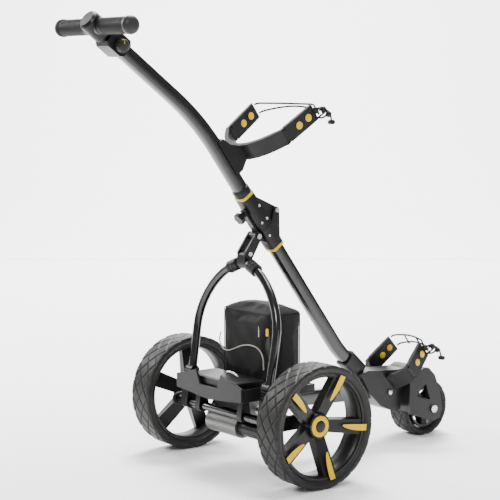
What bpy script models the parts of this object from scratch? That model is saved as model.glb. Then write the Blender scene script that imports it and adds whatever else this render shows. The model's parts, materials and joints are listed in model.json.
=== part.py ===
"""Electric golf trolley: folding three-wheel frame with a motor, a battery bag and two bag cradles.

Frame: +Z up, +Y the way it travels, +X its right side. The origin lies on the ground, in the
middle between the two rear wheels, straight below their axle. All sizes are in metres.
"""
import math

import bmesh
import bpy
from mathutils import Matrix, Vector

# ---------------------------------------------------------------- driving sizes
GAP = 0.0003            # air between two pieces that touch
RUN = 0.0005            # air around a piece that turns or slides

WHEEL_R = 0.146         # rear tyre, outside
TYRE_W = 0.076
TYRE_WALL = 0.0205      # tread to the bead
TRACK_OUT = 0.5954      # outer face to outer face of the rear tyres
WHEELBASE = 0.5800
SPOKE_TURN = math.radians(11)        # right wheel's first spoke from straight down
SPOKE_TURN_LEFT = math.radians(42)
FRONT_R = 0.0755
FRONT_TYRE_W = 0.066

NOSE_AHEAD = 0.3700     # cradle end of the lower tube, ahead of the rear axle
NOSE_UP = 0.0745         # and above the front axle
SLOPE = math.radians(53.7)
LOWER_LEN = 0.5450      # lower tube's end to the hinge's parting plane
UPPER_STRAIGHT = 0.233    # parting plane to the start of the bend
BEND_R = 0.629
BEND = math.radians(16.5)
UPPER_TOP = 0.262       # end of the bend to the handle bar's axis
UPPER_LENGTH = UPPER_STRAIGHT + BEND_R * BEND + UPPER_TOP
UPPER_SIZE = (0.032, 0.034)     # section across (along X), and fore and aft
LOWER_SIZE = (0.031, 0.034)
LOWER_BEND_AT = 0.160   # lower tube's bend, up from its end
LOWER_BEND_R = 0.25
LOWER_BEND = math.radians(11)
LOWER_TAIL = 0.062      # from the bend to the tube's end in the bracket
TUBE_CORNER = 0.008
TUBE_WALL = 0.002

SHELL_W = 0.0430        # hinge shells, along X
SHELL_D = 0.0430
SHELL_UP = 0.0935       # parting plane to the end of the upper shell
SHELL_DOWN = 0.0575     # parting plane to the end of the lower shell
SHELL_CORNER = 0.009
SHELL_TAPER = 0.93      # far end of a shell against its parting plane
RING_L = 0.007          # coloured collar at each end of the hinge
PIVOT_UP = 0.0126       # hinge pivot, above the parting plane
PIVOT_FORWARD = 0.0495  # and in front of the tube's axis
PIVOT_R = 0.0035
PIVOT_EYE = 0.0085      # outside of the lugs round the pivot
LUG_HALF = 0.0080       # the upper shell's single lug, half its width
LUG_CHEEK = 0.0055      # thickness of each of the lower shell's two lugs
LINK_DROP = 0.0024      # arch link's bolt, below the parting plane
LINK_BACK = 0.0340      # and behind the tube's axis
LINK_R = 0.004
LINK_EYE = 0.0100
LINK_HALF = 0.0115      # half the width of the lower shell's lug for that bolt
LOCK_UP = 0.0600        # lock knob's screw, above the parting plane
LOCK_R = 0.0040
LOCK_KNOB_R = 0.0150
TONGUE_T = 0.0050       # the lower shell's rear tongue, which the lock knob is screwed through
TONGUE_AIR = 0.0016     # and its distance from the upper shell

RAIL_R = 0.0105
RAIL_WALL = 0.002
RAIL_BACK = 0.067       # rail behind the axle
RAIL_DROP = 0.003       # and below it
RAIL_END_GAP = 0.012    # rail's end to the tyre's inner face
AXLE_R = 0.006
BEARING_R = 0.013
BEARING_W = 0.010
HANGER_W = 0.010

GEAR_TEETH = 26
PINION_TEETH = 12
GEAR_MODULE = 0.0032
GEAR_W = 0.014
CASE_LEFT = -0.073      # gearbox, from this X
CASE_RIGHT = 0.048      # to this X
NECK_L = 0.040          # round neck on its left side, and its radius
NECK_R = 0.0180
CASE_SPLIT = -0.018
CASE_WALL = 0.005
MOTOR_R = 0.0205
MOTOR_L = 0.088
MOTOR_TURN = math.radians(217)   # from the axle to the motor, from +Y towards +Z

TRAY_HALF = 0.132
TRAY_BACK = 0.120       # rear face behind the axle
TRAY_FRONT = 0.106
TRAY_FLOOR = 0.056      # top of the floor above the axle
TRAY_WALL = 0.005
TRAY_SIDE = 0.076       # top of the sides above the axle
TRAY_SIDE_LOW = 0.066   # where the battery comes out

BAG_W = 0.202
BAG_D = 0.107
BAG_H = 0.190
BAG_BACK = 0.009        # rear face behind the axle
BAG_CLOTH = 0.004
PACK_EASE = 0.004

LEG_R = 0.0108
LEG_WALL = 0.0018
LEG_SPREAD = 0.155      # leg's lower end from the middle
LEG_END_UP = 0.066      # leg's lower end above the axle
SOCKET_R = 0.0160
SOCKET_L = 0.034
SOCKET_RIBS = 3
LINK_T = 0.005
FOOT_W = 0.026

BEAM_W = 0.030
BEAM_H = 0.038
BEAM_RISE = 0.007       # beam's axis above the rear axle, at the tray
BEAM_BACK = 0.060       # beam's rear end in front of the axle
BEAM_PIVOT_FWD = 0.075  # beam's pivot in front of the lower tube's end
BEAM_PIVOT_DROP = 0.017

BRACKET_W = 0.066
FORK_OUT = 0.116        # outside width
FORK_T = 0.014
WHEEL_AIR = 0.006       # front tyre to the fork
FRONT_AXLE_R = 0.005

BAR_R = 0.0125
BAR_HALF = 0.140
GRIP_R = 0.0187
CAP_R = 0.0203
CAP_L = 0.014
CLAMP_R = 0.0250
CLAMP_W = 0.056

BOX_HALF = 0.0255       # control box, half its width
KNOB_R = 0.0160
KNOB_L = 0.014
BUTTON_R = 0.0055

UPPER_CRADLE_AT = 0.2205   # along the upper tube from the parting plane
UPPER_CRADLE_TILT = math.radians(35.4)
UPPER_ARM_X = 0.105      # pad hinge from the middle
UPPER_LEAN = 0.10        # outward slope of the pads
UPPER_PAD = (0.118, 0.222)      # from and to, out from the tube's axis
UPPER_PAD_H = 0.042
UPPER_BAND_DROP = 0.030         # band's middle below the cradle's centre
LOWER_CRADLE_TILT = math.radians(42.3)
LOWER_ARM_X = 0.0735
LOWER_LEAN = -0.17
LOWER_PAD = (0.100, 0.189)
LOWER_PAD_H = 0.048
LOWER_BAND_DROP = 0.0465
PAD_T = 0.010
BAND_T = 0.011
PIN_R = 0.0018          # pad hinge
EAR_R = 0.0046
EAR_T = 0.0060

CORD_D = 0.005
LEAD_D = 0.0035

# ---------------------------------------------------------------- places worked out from them
AXLE = Vector((0, 0, WHEEL_R))
FRONT = Vector((0, WHEELBASE, FRONT_R))
NOSE = Vector((0, NOSE_AHEAD, FRONT_R + NOSE_UP))
UPWARD = Vector((0, -math.cos(SLOPE), math.sin(SLOPE)))    # along the tubes, towards the handle
FORWARD = Vector((0, math.sin(SLOPE), math.cos(SLOPE)))    # square to them, towards the front
HINGE = NOSE + UPWARD * LOWER_LEN
PIVOT = HINGE + UPWARD * PIVOT_UP + FORWARD * PIVOT_FORWARD
LINK = HINGE - UPWARD * LINK_DROP - FORWARD * LINK_BACK
RAIL = AXLE + Vector((0, -RAIL_BACK, -RAIL_DROP))
WHEEL_IN = TRACK_OUT / 2 - TYRE_W
RAIL_HALF = WHEEL_IN - RAIL_END_GAP
GEAR_PITCH_R = GEAR_MODULE * GEAR_TEETH / 2
PINION_PITCH_R = GEAR_MODULE * PINION_TEETH / 2
MOTOR_AXIS = AXLE + (GEAR_PITCH_R + PINION_PITCH_R) * Vector(
    (0, math.cos(MOTOR_TURN), math.sin(MOTOR_TURN)))
BEAM_PIVOT = NOSE + Vector((0, BEAM_PIVOT_FWD, -BEAM_PIVOT_DROP))
BEAM_REAR = AXLE + Vector((0, BEAM_BACK, BEAM_RISE))
HUB_R = 0.030
SPIN = Matrix.Rotation(math.radians(90), 4, 'Y')           # turns a Z axis into X

# ---------------------------------------------------------------- materials
FINISHES = {
    "black_tube": ((0.012, 0.012, 0.013), 0.28, 0.5),
    "black_plastic": ((0.022, 0.022, 0.023), 0.50, 0.0),
    "rubber": ((0.030, 0.029, 0.028), 0.75, 0.0),
    "yellow": ((0.85, 0.55, 0.02), 0.40, 0.0),
    "steel": ((0.55, 0.55, 0.55), 0.30, 1.0),
    "cast_metal": ((0.42, 0.41, 0.39), 0.45, 0.9),
    "cloth": ((0.014, 0.014, 0.015), 0.90, 0.0),
    "cord": ((0.018, 0.018, 0.018), 0.80, 0.0),
    "grey_lead": ((0.35, 0.34, 0.31), 0.60, 0.0),
}


def material(name):
    """The Principled material of this name, made when first asked for."""
    if name in bpy.data.materials:
        return bpy.data.materials[name]
    colour, roughness, metallic = FINISHES[name]
    made = bpy.data.materials.new(name)
    made.use_nodes = True
    shader = made.node_tree.nodes["Principled BSDF"]
    shader.inputs["Base Color"].default_value = (*colour, 1)
    shader.inputs["Roughness"].default_value = roughness
    shader.inputs["Metallic"].default_value = metallic
    return made


# ---------------------------------------------------------------- shape tools
def put(name, mesh, finish, pivot=None, bevel=0.0):
    """Add a mesh given in world places as the object `name`, with its origin at `pivot`."""
    shape = bpy.data.objects.new(name, mesh)
    bpy.context.collection.objects.link(shape)
    mesh.materials.clear()
    mesh.materials.append(material(finish))
    if pivot is not None:
        mesh.transform(Matrix.Translation(-pivot))
        shape.location = pivot
    mesh.shade_smooth()
    mesh.set_sharp_from_angle(angle=math.radians(35))
    if bevel:
        edge = shape.modifiers.new("edge", 'BEVEL')
        edge.width = bevel
        edge.segments = 1
        edge.limit_method = 'ANGLE'
        edge.angle_limit = math.radians(40)
    return shape


def mesh_of(bm):
    """A mesh with its faces pointing out, from a bmesh that is then freed."""
    bmesh.ops.recalc_face_normals(bm, faces=bm.faces)
    mesh = bpy.data.meshes.new("solid")
    bm.to_mesh(mesh)
    bm.free()
    return mesh


def loft(rings, closed=False):
    """Skin rings of points that match one to one; closed joins the last ring to the first."""
    bm = bmesh.new()
    rows = [[bm.verts.new(point) for point in ring] for ring in rings]
    pairs = list(zip(rows, rows[1:])) + ([(rows[-1], rows[0])] if closed else [])
    for low, high in pairs:
        for index in range(len(low)):
            after = (index + 1) % len(low)
            bm.faces.new((low[index], low[after], high[after], high[index]))
    if not closed:
        bm.faces.new(rows[0])
        bm.faces.new(list(reversed(rows[-1])))
    return mesh_of(bm)


def prism(outline, low, high, place=Matrix()):
    """Extrude an outline of (Y, Z) points along X from low to high, then place it."""
    return loft([[place @ Vector((x, y, z)) for y, z in outline] for x in (low, high)])


def slab(outline, low, high, place=Matrix()):
    """Extrude an outline of (X, Y) points along Z from low to high, then place it."""
    return loft([[place @ Vector((x, y, z)) for x, y in outline] for z in (low, high)])


def box(low, high, place=Matrix()):
    """A block between two corners."""
    ring = [(low[1], low[2]), (high[1], low[2]), (high[1], high[2]), (low[1], high[2])]
    return prism(ring, low[0], high[0], place)


def circle(radius, count, start=0.0, span=2 * math.pi):
    """Points of a circle in two numbers; a whole circle leaves its last point out."""
    whole = span >= 2 * math.pi - 1e-9
    steps = count if whole else count - 1
    return [(radius * math.cos(start + span * k / steps), radius * math.sin(start + span * k / steps))
            for k in range(count)]


def turned(profile, axis_place, count=32, closed=False):
    """Turn (radius, height) points about the Z axis of axis_place; closed is for a ring."""
    rings = []
    for k in range(count):
        angle = 2 * math.pi * k / count
        rings.append([axis_place @ Vector((r * math.cos(angle), r * math.sin(angle), h))
                      for r, h in profile])
    if closed:
        return loft(rings, closed=True)
    bm = bmesh.new()
    rows = [[bm.verts.new(point) for point in ring] for ring in rings]
    for low, high in zip(rows, rows[1:] + rows[:1]):
        for index in range(len(low) - 1):
            bm.faces.new((low[index], low[index + 1], high[index + 1], high[index]))
    bm.faces.new([row[0] for row in rows])
    bm.faces.new([row[-1] for row in rows])
    return mesh_of(bm)


def rod(start, end, radius, count=16, bore=0.0):
    """A round bar between two points, hollow right through when it has a bore."""
    place = along(start, end)
    length = (Vector(end) - Vector(start)).length
    if bore:
        ring = [(bore, 0), (radius, 0), (radius, length), (bore, length)]
        return turned(ring, place, count, closed=True)
    return turned([(radius, 0), (radius, length)], place, count)


def along(start, end):
    """A placement whose origin is start and whose Z axis points at end."""
    start, end = Vector(start), Vector(end)
    turn = (end - start).to_track_quat('Z', 'Y').to_matrix().to_4x4()
    return Matrix.Translation(start) @ turn


def rounded(width, depth, corner, steps=3):
    """Outline of a rectangle with round corners, centred on zero."""
    points = []
    for quarter, (sx, sy) in enumerate(((1, 1), (-1, 1), (-1, -1), (1, -1))):
        for x, y in circle(corner, steps, quarter * math.pi / 2, math.pi / 2):
            points.append((sx * (width / 2 - corner) + x, sy * (depth / 2 - corner) + y))
    return points


def pair_hull(first, first_r, second, second_r, count=12):
    """Outline of the belt round two circles in the (Y, Z) plane."""
    reach = Vector((second[0] - first[0], second[1] - first[1]))
    heading = math.atan2(reach.y, reach.x)
    lean = math.acos(max(-1.0, min(1.0, (first_r - second_r) / reach.length)))
    points = []
    for centre, radius, start, span in (
            (first, first_r, heading + lean, 2 * math.pi - 2 * lean),
            (second, second_r, heading - lean, 2 * lean)):
        for y, z in circle(radius, count, start, span):
            points.append((centre[0] + y, centre[1] + z))
    return points


def combine(base, others, operation):
    """Boolean of a mesh with others, worked out and returned as one mesh."""
    holder = bpy.data.objects.new("work", base)
    bpy.context.collection.objects.link(holder)
    helpers = []
    for other in others:
        helper = bpy.data.objects.new("helper", other)
        bpy.context.collection.objects.link(helper)
        step = holder.modifiers.new("step", 'BOOLEAN')
        step.operation = operation
        step.object = helper
        helpers.append(helper)
    bpy.context.view_layer.update()
    ready = holder.evaluated_get(bpy.context.evaluated_depsgraph_get())
    result = bpy.data.meshes.new_from_object(ready)
    for used in [holder] + helpers:
        bpy.data.objects.remove(used)
    return result


def cut(base, *tools):
    return combine(base, tools, 'DIFFERENCE')


def join(base, *others):
    return combine(base, others, 'UNION')


def sides(build):
    """Call build(side, word) for the left side (-1) and the right side (+1)."""
    for side, word in ((-1, "left"), (1, "right")):
        build(side, word)


def yz(point):
    return (point.y, point.z)


# ---------------------------------------------------------------- main tubes
def tube_frame(centre, direction):
    """Cross-section axes of a tube that lies in the middle plane: X, and square to it."""
    direction = direction.normalized()
    return centre, Vector((1, 0, 0)), Vector((0, direction.z, -direction.y))


def tube_rings(path, width, depth, corner):
    """Rounded rectangles along a path in the middle plane."""
    rings = []
    for index, centre in enumerate(path):
        before = path[max(index - 1, 0)]
        after = path[min(index + 1, len(path) - 1)]
        middle, across, front = tube_frame(centre, after - before)
        rings.append([middle + across * x + front * y for x, y in rounded(width, depth, corner)])
    return rings


def hollow_tube(path, width, depth, corner, wall):
    """A tube of rounded rectangular section, open at both ends."""
    outer = tube_rings(path, width, depth, corner)
    inner = tube_rings(path, width - 2 * wall, depth - 2 * wall, corner - wall)
    return loft(outer + inner[::-1], closed=True)


def upper_path():
    """Middle line of the upper tube, from inside the hinge to the handle bar."""
    points = [HINGE + UPWARD * 0.004]
    start = HINGE + UPWARD * UPPER_STRAIGHT
    steps = 10
    for k in range(steps + 1):
        turn = BEND * k / steps
        ahead = BEND_R * math.sin(turn)
        aside = BEND_R * (1 - math.cos(turn))
        points.append(start + UPWARD * ahead - FORWARD * aside)
    points.append(points[-1] + upper_end_direction() * (UPPER_TOP - BAR_R - 0.002))
    return points


def upper_end_direction():
    return UPWARD * math.cos(BEND) - FORWARD * math.sin(BEND)


def handle_centre():
    start = HINGE + UPWARD * UPPER_STRAIGHT
    end = start + UPWARD * BEND_R * math.sin(BEND) - FORWARD * BEND_R * (1 - math.cos(BEND))
    return end + upper_end_direction() * UPPER_TOP


def on_upper(distance):
    """Point on the upper tube's middle line and its direction there."""
    if distance <= UPPER_STRAIGHT:
        return HINGE + UPWARD * distance, UPWARD.copy()
    turn = min((distance - UPPER_STRAIGHT) / BEND_R, BEND)
    point = HINGE + UPWARD * (UPPER_STRAIGHT + BEND_R * math.sin(turn))
    point -= FORWARD * BEND_R * (1 - math.cos(turn))
    beyond = distance - UPPER_STRAIGHT - BEND_R * BEND
    direction = UPWARD * math.cos(turn) - FORWARD * math.sin(turn)
    return point + direction * max(beyond, 0), direction


def lower_path():
    """Middle line of the lower tube, from inside the hinge to inside the front bracket."""
    points = [HINGE - UPWARD * 0.004]
    start = NOSE + UPWARD * LOWER_BEND_AT
    steps = 4
    for k in range(steps + 1):
        turn = LOWER_BEND * k / steps
        points.append(start - UPWARD * LOWER_BEND_R * math.sin(turn)
                      + FORWARD * LOWER_BEND_R * (1 - math.cos(turn)))
    points.append(points[-1] + lower_end_direction() * LOWER_TAIL)
    return points


def lower_end_direction():
    return FORWARD * math.sin(LOWER_BEND) - UPWARD * math.cos(LOWER_BEND)


def tube_room(path, size):
    """A tube's own shape with a gap all round, to cut out of what it passes through."""
    grown = list(path)
    grown[-1] = grown[-1] + (grown[-1] - grown[-2]).normalized() * GAP
    return loft(tube_rings(grown, size[0] + 2 * GAP, size[1] + 2 * GAP, TUBE_CORNER + GAP))


def main_tubes():
    put("upper_tube", hollow_tube(upper_path(), *UPPER_SIZE, TUBE_CORNER, TUBE_WALL),
        "black_tube", PIVOT)
    put("lower_tube", hollow_tube(lower_path(), *LOWER_SIZE, TUBE_CORNER, TUBE_WALL),
        "black_tube")


# ---------------------------------------------------------------- hinge
def hinge_frame():
    """X across, Y out in front of the tubes, Z along them, from the parting plane."""
    return Matrix(((1, 0, 0, 0), (0, FORWARD.y, UPWARD.y, HINGE.y),
                   (0, FORWARD.z, UPWARD.z, HINGE.z), (0, 0, 0, 1)))


def sleeve(start, end, size, taper_start=1.0, taper_end=1.0):
    """Rounded block round a tube of this size, from start to end along it, bored for it."""
    rings = []
    for height, taper in ((start, taper_start), (end, taper_end)):
        rings.append([hinge_frame() @ Vector((x, y, height)) for x, y in
                      rounded(SHELL_W * taper, SHELL_D * taper, SHELL_CORNER * taper)])
    bore = tube_room([HINGE + UPWARD * (start - 0.01), HINGE + UPWARD * (end + 0.01)], size)
    return cut(loft(rings), bore)


def lug(centre, radius, root_low, root_high, root_y, low_x, high_x):
    """Ear round an eye in the hinge's (Y, Z), with its root on a shell's face at root_y."""
    side = 1 if centre[0] > root_y else -1
    reach_low = (root_y - centre[0], root_low - centre[1])
    reach_high = (root_y - centre[0], root_high - centre[1])
    turn = []
    for (y, z), sign in ((reach_low, side), (reach_high, -side)):
        turn.append(math.atan2(z, y) + sign * math.acos(radius / math.hypot(y, z)))
    start, end = (turn[0], turn[1]) if side > 0 else (turn[1], turn[0])
    span = (end - start) % (2 * math.pi)
    outline = [(centre[0] + y, centre[1] + z) for y, z in circle(radius, 9, start, span)]
    roots = [(root_y, root_high), (root_y, root_low)]
    outline += roots if side > 0 else roots[::-1]
    return prism(outline, low_x, high_x, hinge_frame())


def hinge():
    half = SHELL_D / 2
    into = half - 0.002          # a lug's root, inside the shell's wall
    eye = (PIVOT_FORWARD, PIVOT_UP)
    upper = sleeve(GAP, SHELL_UP, UPPER_SIZE, 1.0, SHELL_TAPER)
    upper = join(upper, lug(eye, PIVOT_EYE, 0.002, 0.082, into, -LUG_HALF, LUG_HALF))
    screw = HINGE + UPWARD * LOCK_UP - FORWARD * half
    cheek_room = [box((low, half + 0.0005, -0.02), (high, half + 0.1, 0.045), hinge_frame())
                  for low, high in ((-0.03, -LUG_HALF), (LUG_HALF, 0.03))]
    pin_way = through((-0.05, 0.05), PIVOT, PIVOT_R + RUN, 14)
    put("hinge_shell_upper", cut(upper, pin_way, *cheek_room), "black_plastic", PIVOT)

    lower = sleeve(-SHELL_DOWN, -GAP, LOWER_SIZE, SHELL_TAPER, 1.0)
    for low, high in ((-LUG_HALF - RUN - LUG_CHEEK, -LUG_HALF - RUN),
                      (LUG_HALF + RUN, LUG_HALF + RUN + LUG_CHEEK)):
        lower = join(lower, lug(eye, PIVOT_EYE, -0.046, -0.003, into, low, high))
    lower = join(lower, lug((-LINK_BACK, -LINK_DROP), LINK_EYE, -0.034, -0.008, -into, -LINK_HALF,
                            LINK_HALF))
    back = half + TONGUE_AIR
    tongue = box((-0.009, -back - TONGUE_T, -0.020), (0.009, -back, LOCK_UP + 0.010),
                 hinge_frame())
    screw_way = rod(screw + FORWARD * 0.01, screw - FORWARD * 0.03, LOCK_R + RUN, 14)
    lug_room = box((-LUG_HALF - RUN, half + 0.0005, -0.004), (LUG_HALF + RUN, 0.1, 0.05),
                   hinge_frame())
    rear_room = box((-0.03, -half - RUN, 0.0), (0.03, -half + 0.01, 0.012), hinge_frame())
    lower = cut(join(lower, cut(tongue, screw_way)), lug_room, rear_room,
                through((-0.05, 0.05), PIVOT, PIVOT_R + GAP, 14),
                through((-0.05, 0.05), LINK, LINK_R + GAP, 14))
    put("hinge_shell_lower", lower, "black_plastic")

    def headed_pin(name, centre, radius, reach, head_r):
        pin = join(through((-reach - 0.002, reach + 0.002), centre, radius, 14),
                   through((reach + GAP, reach + 0.004), centre, head_r, 10),
                   through((-reach - 0.004, -reach - GAP), centre, head_r, 10))
        put(name, pin, "steel")
    headed_pin("hinge_pin", PIVOT, PIVOT_R, LUG_HALF + RUN + LUG_CHEEK, 0.0060)
    headed_pin("link_bolt", LINK, LINK_R, LINK_HALF + LINK_T + 2 * RUN, 0.0068)

    put("hinge_ring_upper", sleeve(SHELL_UP + GAP, SHELL_UP + GAP + RING_L, UPPER_SIZE,
                                   SHELL_TAPER, SHELL_TAPER), "yellow", PIVOT)
    put("hinge_ring_lower", sleeve(-SHELL_DOWN - GAP - RING_L, -SHELL_DOWN - GAP, LOWER_SIZE,
                                   SHELL_TAPER, SHELL_TAPER), "yellow")

    lobes = 6
    disc = []
    for k in range(lobes * 4):
        angle = 2 * math.pi * k / (lobes * 4)
        radius = LOCK_KNOB_R - 0.0011 * (1 - math.cos(lobes * angle))
        disc.append((radius * math.cos(angle), radius * math.sin(angle)))
    seat = HINGE + UPWARD * LOCK_UP - FORWARD * (back + TONGUE_T + GAP)
    knob = slab(disc, 0.009, 0.021, along(seat, seat - FORWARD))
    collar = rod(seat, seat - FORWARD * 0.010, 0.0075, 14)
    stem = rod(seat - FORWARD * 0.003, screw - FORWARD * GAP, LOCK_R, 12)
    put("lock_knob", join(knob, collar, stem), "black_plastic", seat)


# ---------------------------------------------------------------- arch behind the battery
def arch_line(side):
    """Middle line of one leg, from its socket down to its foot."""
    top = knuckle_centre()
    foot = RAIL + Vector((0, 0, 0))
    lean = (top.y - foot.y) / (top.z - foot.z)
    start = Vector((0.031, 0, top.z - 0.029))
    bend = [start + Vector(step) for step in ((0, 0, 0), (0.071, 0, -0.022), (0.131, 0, -0.097),
                                              (0.127, 0, -0.167))]
    line = []
    steps = 9
    for k in range(steps + 1):
        t = k / steps
        weights = ((1 - t) ** 3, 3 * t * (1 - t) ** 2, 3 * t * t * (1 - t), t ** 3)
        line.append(sum((w * p for w, p in zip(weights, bend)), Vector()))
    line.append(Vector((LEG_SPREAD, 0, AXLE.z + LEG_END_UP)))
    return [Vector((side * p.x, foot.y + lean * (p.z - foot.z), p.z)) for p in line]


def knuckle_centre():
    """The knuckle's bolt, behind and below the hinge pivot."""
    return LINK + Vector((0, -0.027, -0.041))


def swept(path, radius, count=12, bore=0.0):
    """Round tube along a path, solid or hollow right through."""
    def rings(r):
        made = []
        side = Vector((0, 1, 0))
        for index, centre in enumerate(path):
            ahead = (path[min(index + 1, len(path) - 1)] - path[max(index - 1, 0)]).normalized()
            side = (side - ahead * side.dot(ahead)).normalized()
            other = ahead.cross(side)
            made.append([centre + side * x + other * y for x, y in circle(r, count)])
        return made
    if bore:
        return loft(rings(radius) + rings(bore)[::-1], closed=True)
    return loft(rings(radius))


def arch():
    top = knuckle_centre()
    inner = LINK_HALF + RUN
    blades = []
    for side in (-1, 1):
        low, high = sorted((side * inner, side * (inner + LINK_T)))
        blades.append(prism(pair_hull(yz(LINK), LINK_EYE + 0.001, yz(top), 0.0135), low, high))
    # each blade's eye opens forward, so that the folding arch leaves the bolt
    mouth = Vector((0, 1, -0.2)).normalized()
    upward = Vector((0, -mouth.z, mouth.y))
    slot_half = LINK_R + RUN
    corners = [LINK + upward * slot_half, LINK - upward * slot_half,
               LINK - upward * slot_half + mouth * 0.03, LINK + upward * slot_half + mouth * 0.03]
    slot = prism([yz(point) for point in corners], -0.05, 0.05)
    eye = through((-0.05, 0.05), LINK, slot_half, 16)
    bolt_way = rod(top - Vector((0.05, 0, 0)), top + Vector((0.05, 0, 0)), 0.0035 + GAP, 12)
    low = top + Vector((0, -0.003, -0.024))
    block_top = top + Vector((0, -0.002, -0.006))
    block = prism(pair_hull(yz(block_top), 0.0115, yz(low), 0.0125), -inner - LINK_T + 0.001,
                  inner + LINK_T - 0.001)
    body = join(block, *blades)
    sockets = []
    ways = []
    for side in (-1, 1):
        line = arch_line(side)
        ahead = (line[1] - line[0]).normalized()
        start = line[0] - ahead * 0.012
        profile = [(SOCKET_R - 0.002, 0.0)]
        for k in range(SOCKET_RIBS):
            low_z = 0.004 + SOCKET_L * k / SOCKET_RIBS
            high_z = 0.004 + SOCKET_L * (k + 1) / SOCKET_RIBS
            profile += [(SOCKET_R, low_z), (SOCKET_R, high_z - 0.0030),
                        (SOCKET_R - 0.0018, high_z - 0.0010)]
        sockets.append(turned(profile, along(start, start + ahead), 12))
        ways.append(swept([line[0] - ahead * GAP] + line[:8], LEG_R + GAP, 12))
    body = join(body, *sockets)
    put("arch_knuckle", cut(body, slot, eye, bolt_way, *ways), "black_plastic", RAIL)
    reach = inner + LINK_T
    bolt = join(rod(top - Vector((reach + 0.0035, 0, 0)), top + Vector((reach + 0.0035, 0, 0)),
                    0.0035, 12),
                rod(top + Vector((reach + GAP, 0, 0)), top + Vector((reach + 0.004, 0, 0)),
                    0.0062, 6),
                rod(top - Vector((reach + 0.004, 0, 0)), top - Vector((reach + GAP, 0, 0)),
                    0.0062, 6))
    put("knuckle_bolt", bolt, "steel", RAIL)

    def leg(side, word):
        line = arch_line(side)
        put("arch_leg_" + word, swept(line, LEG_R, 12, LEG_R - LEG_WALL), "black_tube", RAIL)
        # foot between the leg and the rail
        end = line[-1]
        middle = side * LEG_SPREAD
        shape = prism(pair_hull(yz(RAIL), RAIL_R + 0.005, (end.y, end.z + 0.010), 0.0135),
                      middle - FOOT_W / 2, middle + FOOT_W / 2)
        way = rod(Vector((middle - 0.05, RAIL.y, RAIL.z)), Vector((middle + 0.05, RAIL.y, RAIL.z)),
                  RAIL_R + RUN, 20)
        down = (line[-1] - line[-2]).normalized()
        hole = rod(end + down * GAP, end - down * 0.06, LEG_R + 2 * GAP, 16)
        put("leg_foot_" + word, cut(cut(shape, way), hole), "black_plastic", RAIL, bevel=0.0)
    sides(leg)


# ---------------------------------------------------------------- rear frame and drive
def gear_outline(teeth, module, pressure=math.radians(20), slack=0.00022):
    """Involute gear teeth round zero, in (Y, Z), the first tooth's middle on +Y."""
    pitch = module * teeth / 2
    base = pitch * math.cos(pressure)
    tip = pitch + 0.9 * module
    root = pitch - 1.15 * module
    half_pitch = math.pi / (2 * teeth) - slack / pitch
    involute = math.tan(pressure) - pressure
    points = []
    for tooth in range(teeth):
        middle = 2 * math.pi * tooth / teeth
        flank = []
        for k in range(3):
            radius = max(base, root) + (tip - max(base, root)) * k / 2
            turn = math.sqrt(max((radius / base) ** 2 - 1, 0))
            half = half_pitch + involute - (turn - math.atan(turn))
            flank.append((radius, half))
        foot = (root, flank[0][1])
        for radius, half in [foot] + flank if root < base else flank:
            points.append((radius * math.cos(middle - half), radius * math.sin(middle - half)))
        for radius, half in reversed([foot] + flank if root < base else flank):
            points.append((radius * math.cos(middle + half), radius * math.sin(middle + half)))
    return points


def turned_outline(points, angle, centre):
    turn_c, turn_s = math.cos(angle), math.sin(angle)
    return [(centre.y + y * turn_c - z * turn_s, centre.z + y * turn_s + z * turn_c)
            for y, z in points]


def through(points_x, centre, radius, count=16):
    """Round bar along X through a centre in the (Y, Z) plane, between two X values."""
    low, high = points_x
    return rod(Vector((low, centre.y, centre.z)), Vector((high, centre.y, centre.z)), radius,
               count)


def ring_x(low, high, centre, outer, inner, count=24):
    """Ring along X."""
    return rod(Vector((low, centre.y, centre.z)), Vector((high, centre.y, centre.z)), outer,
               count, inner)


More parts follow.
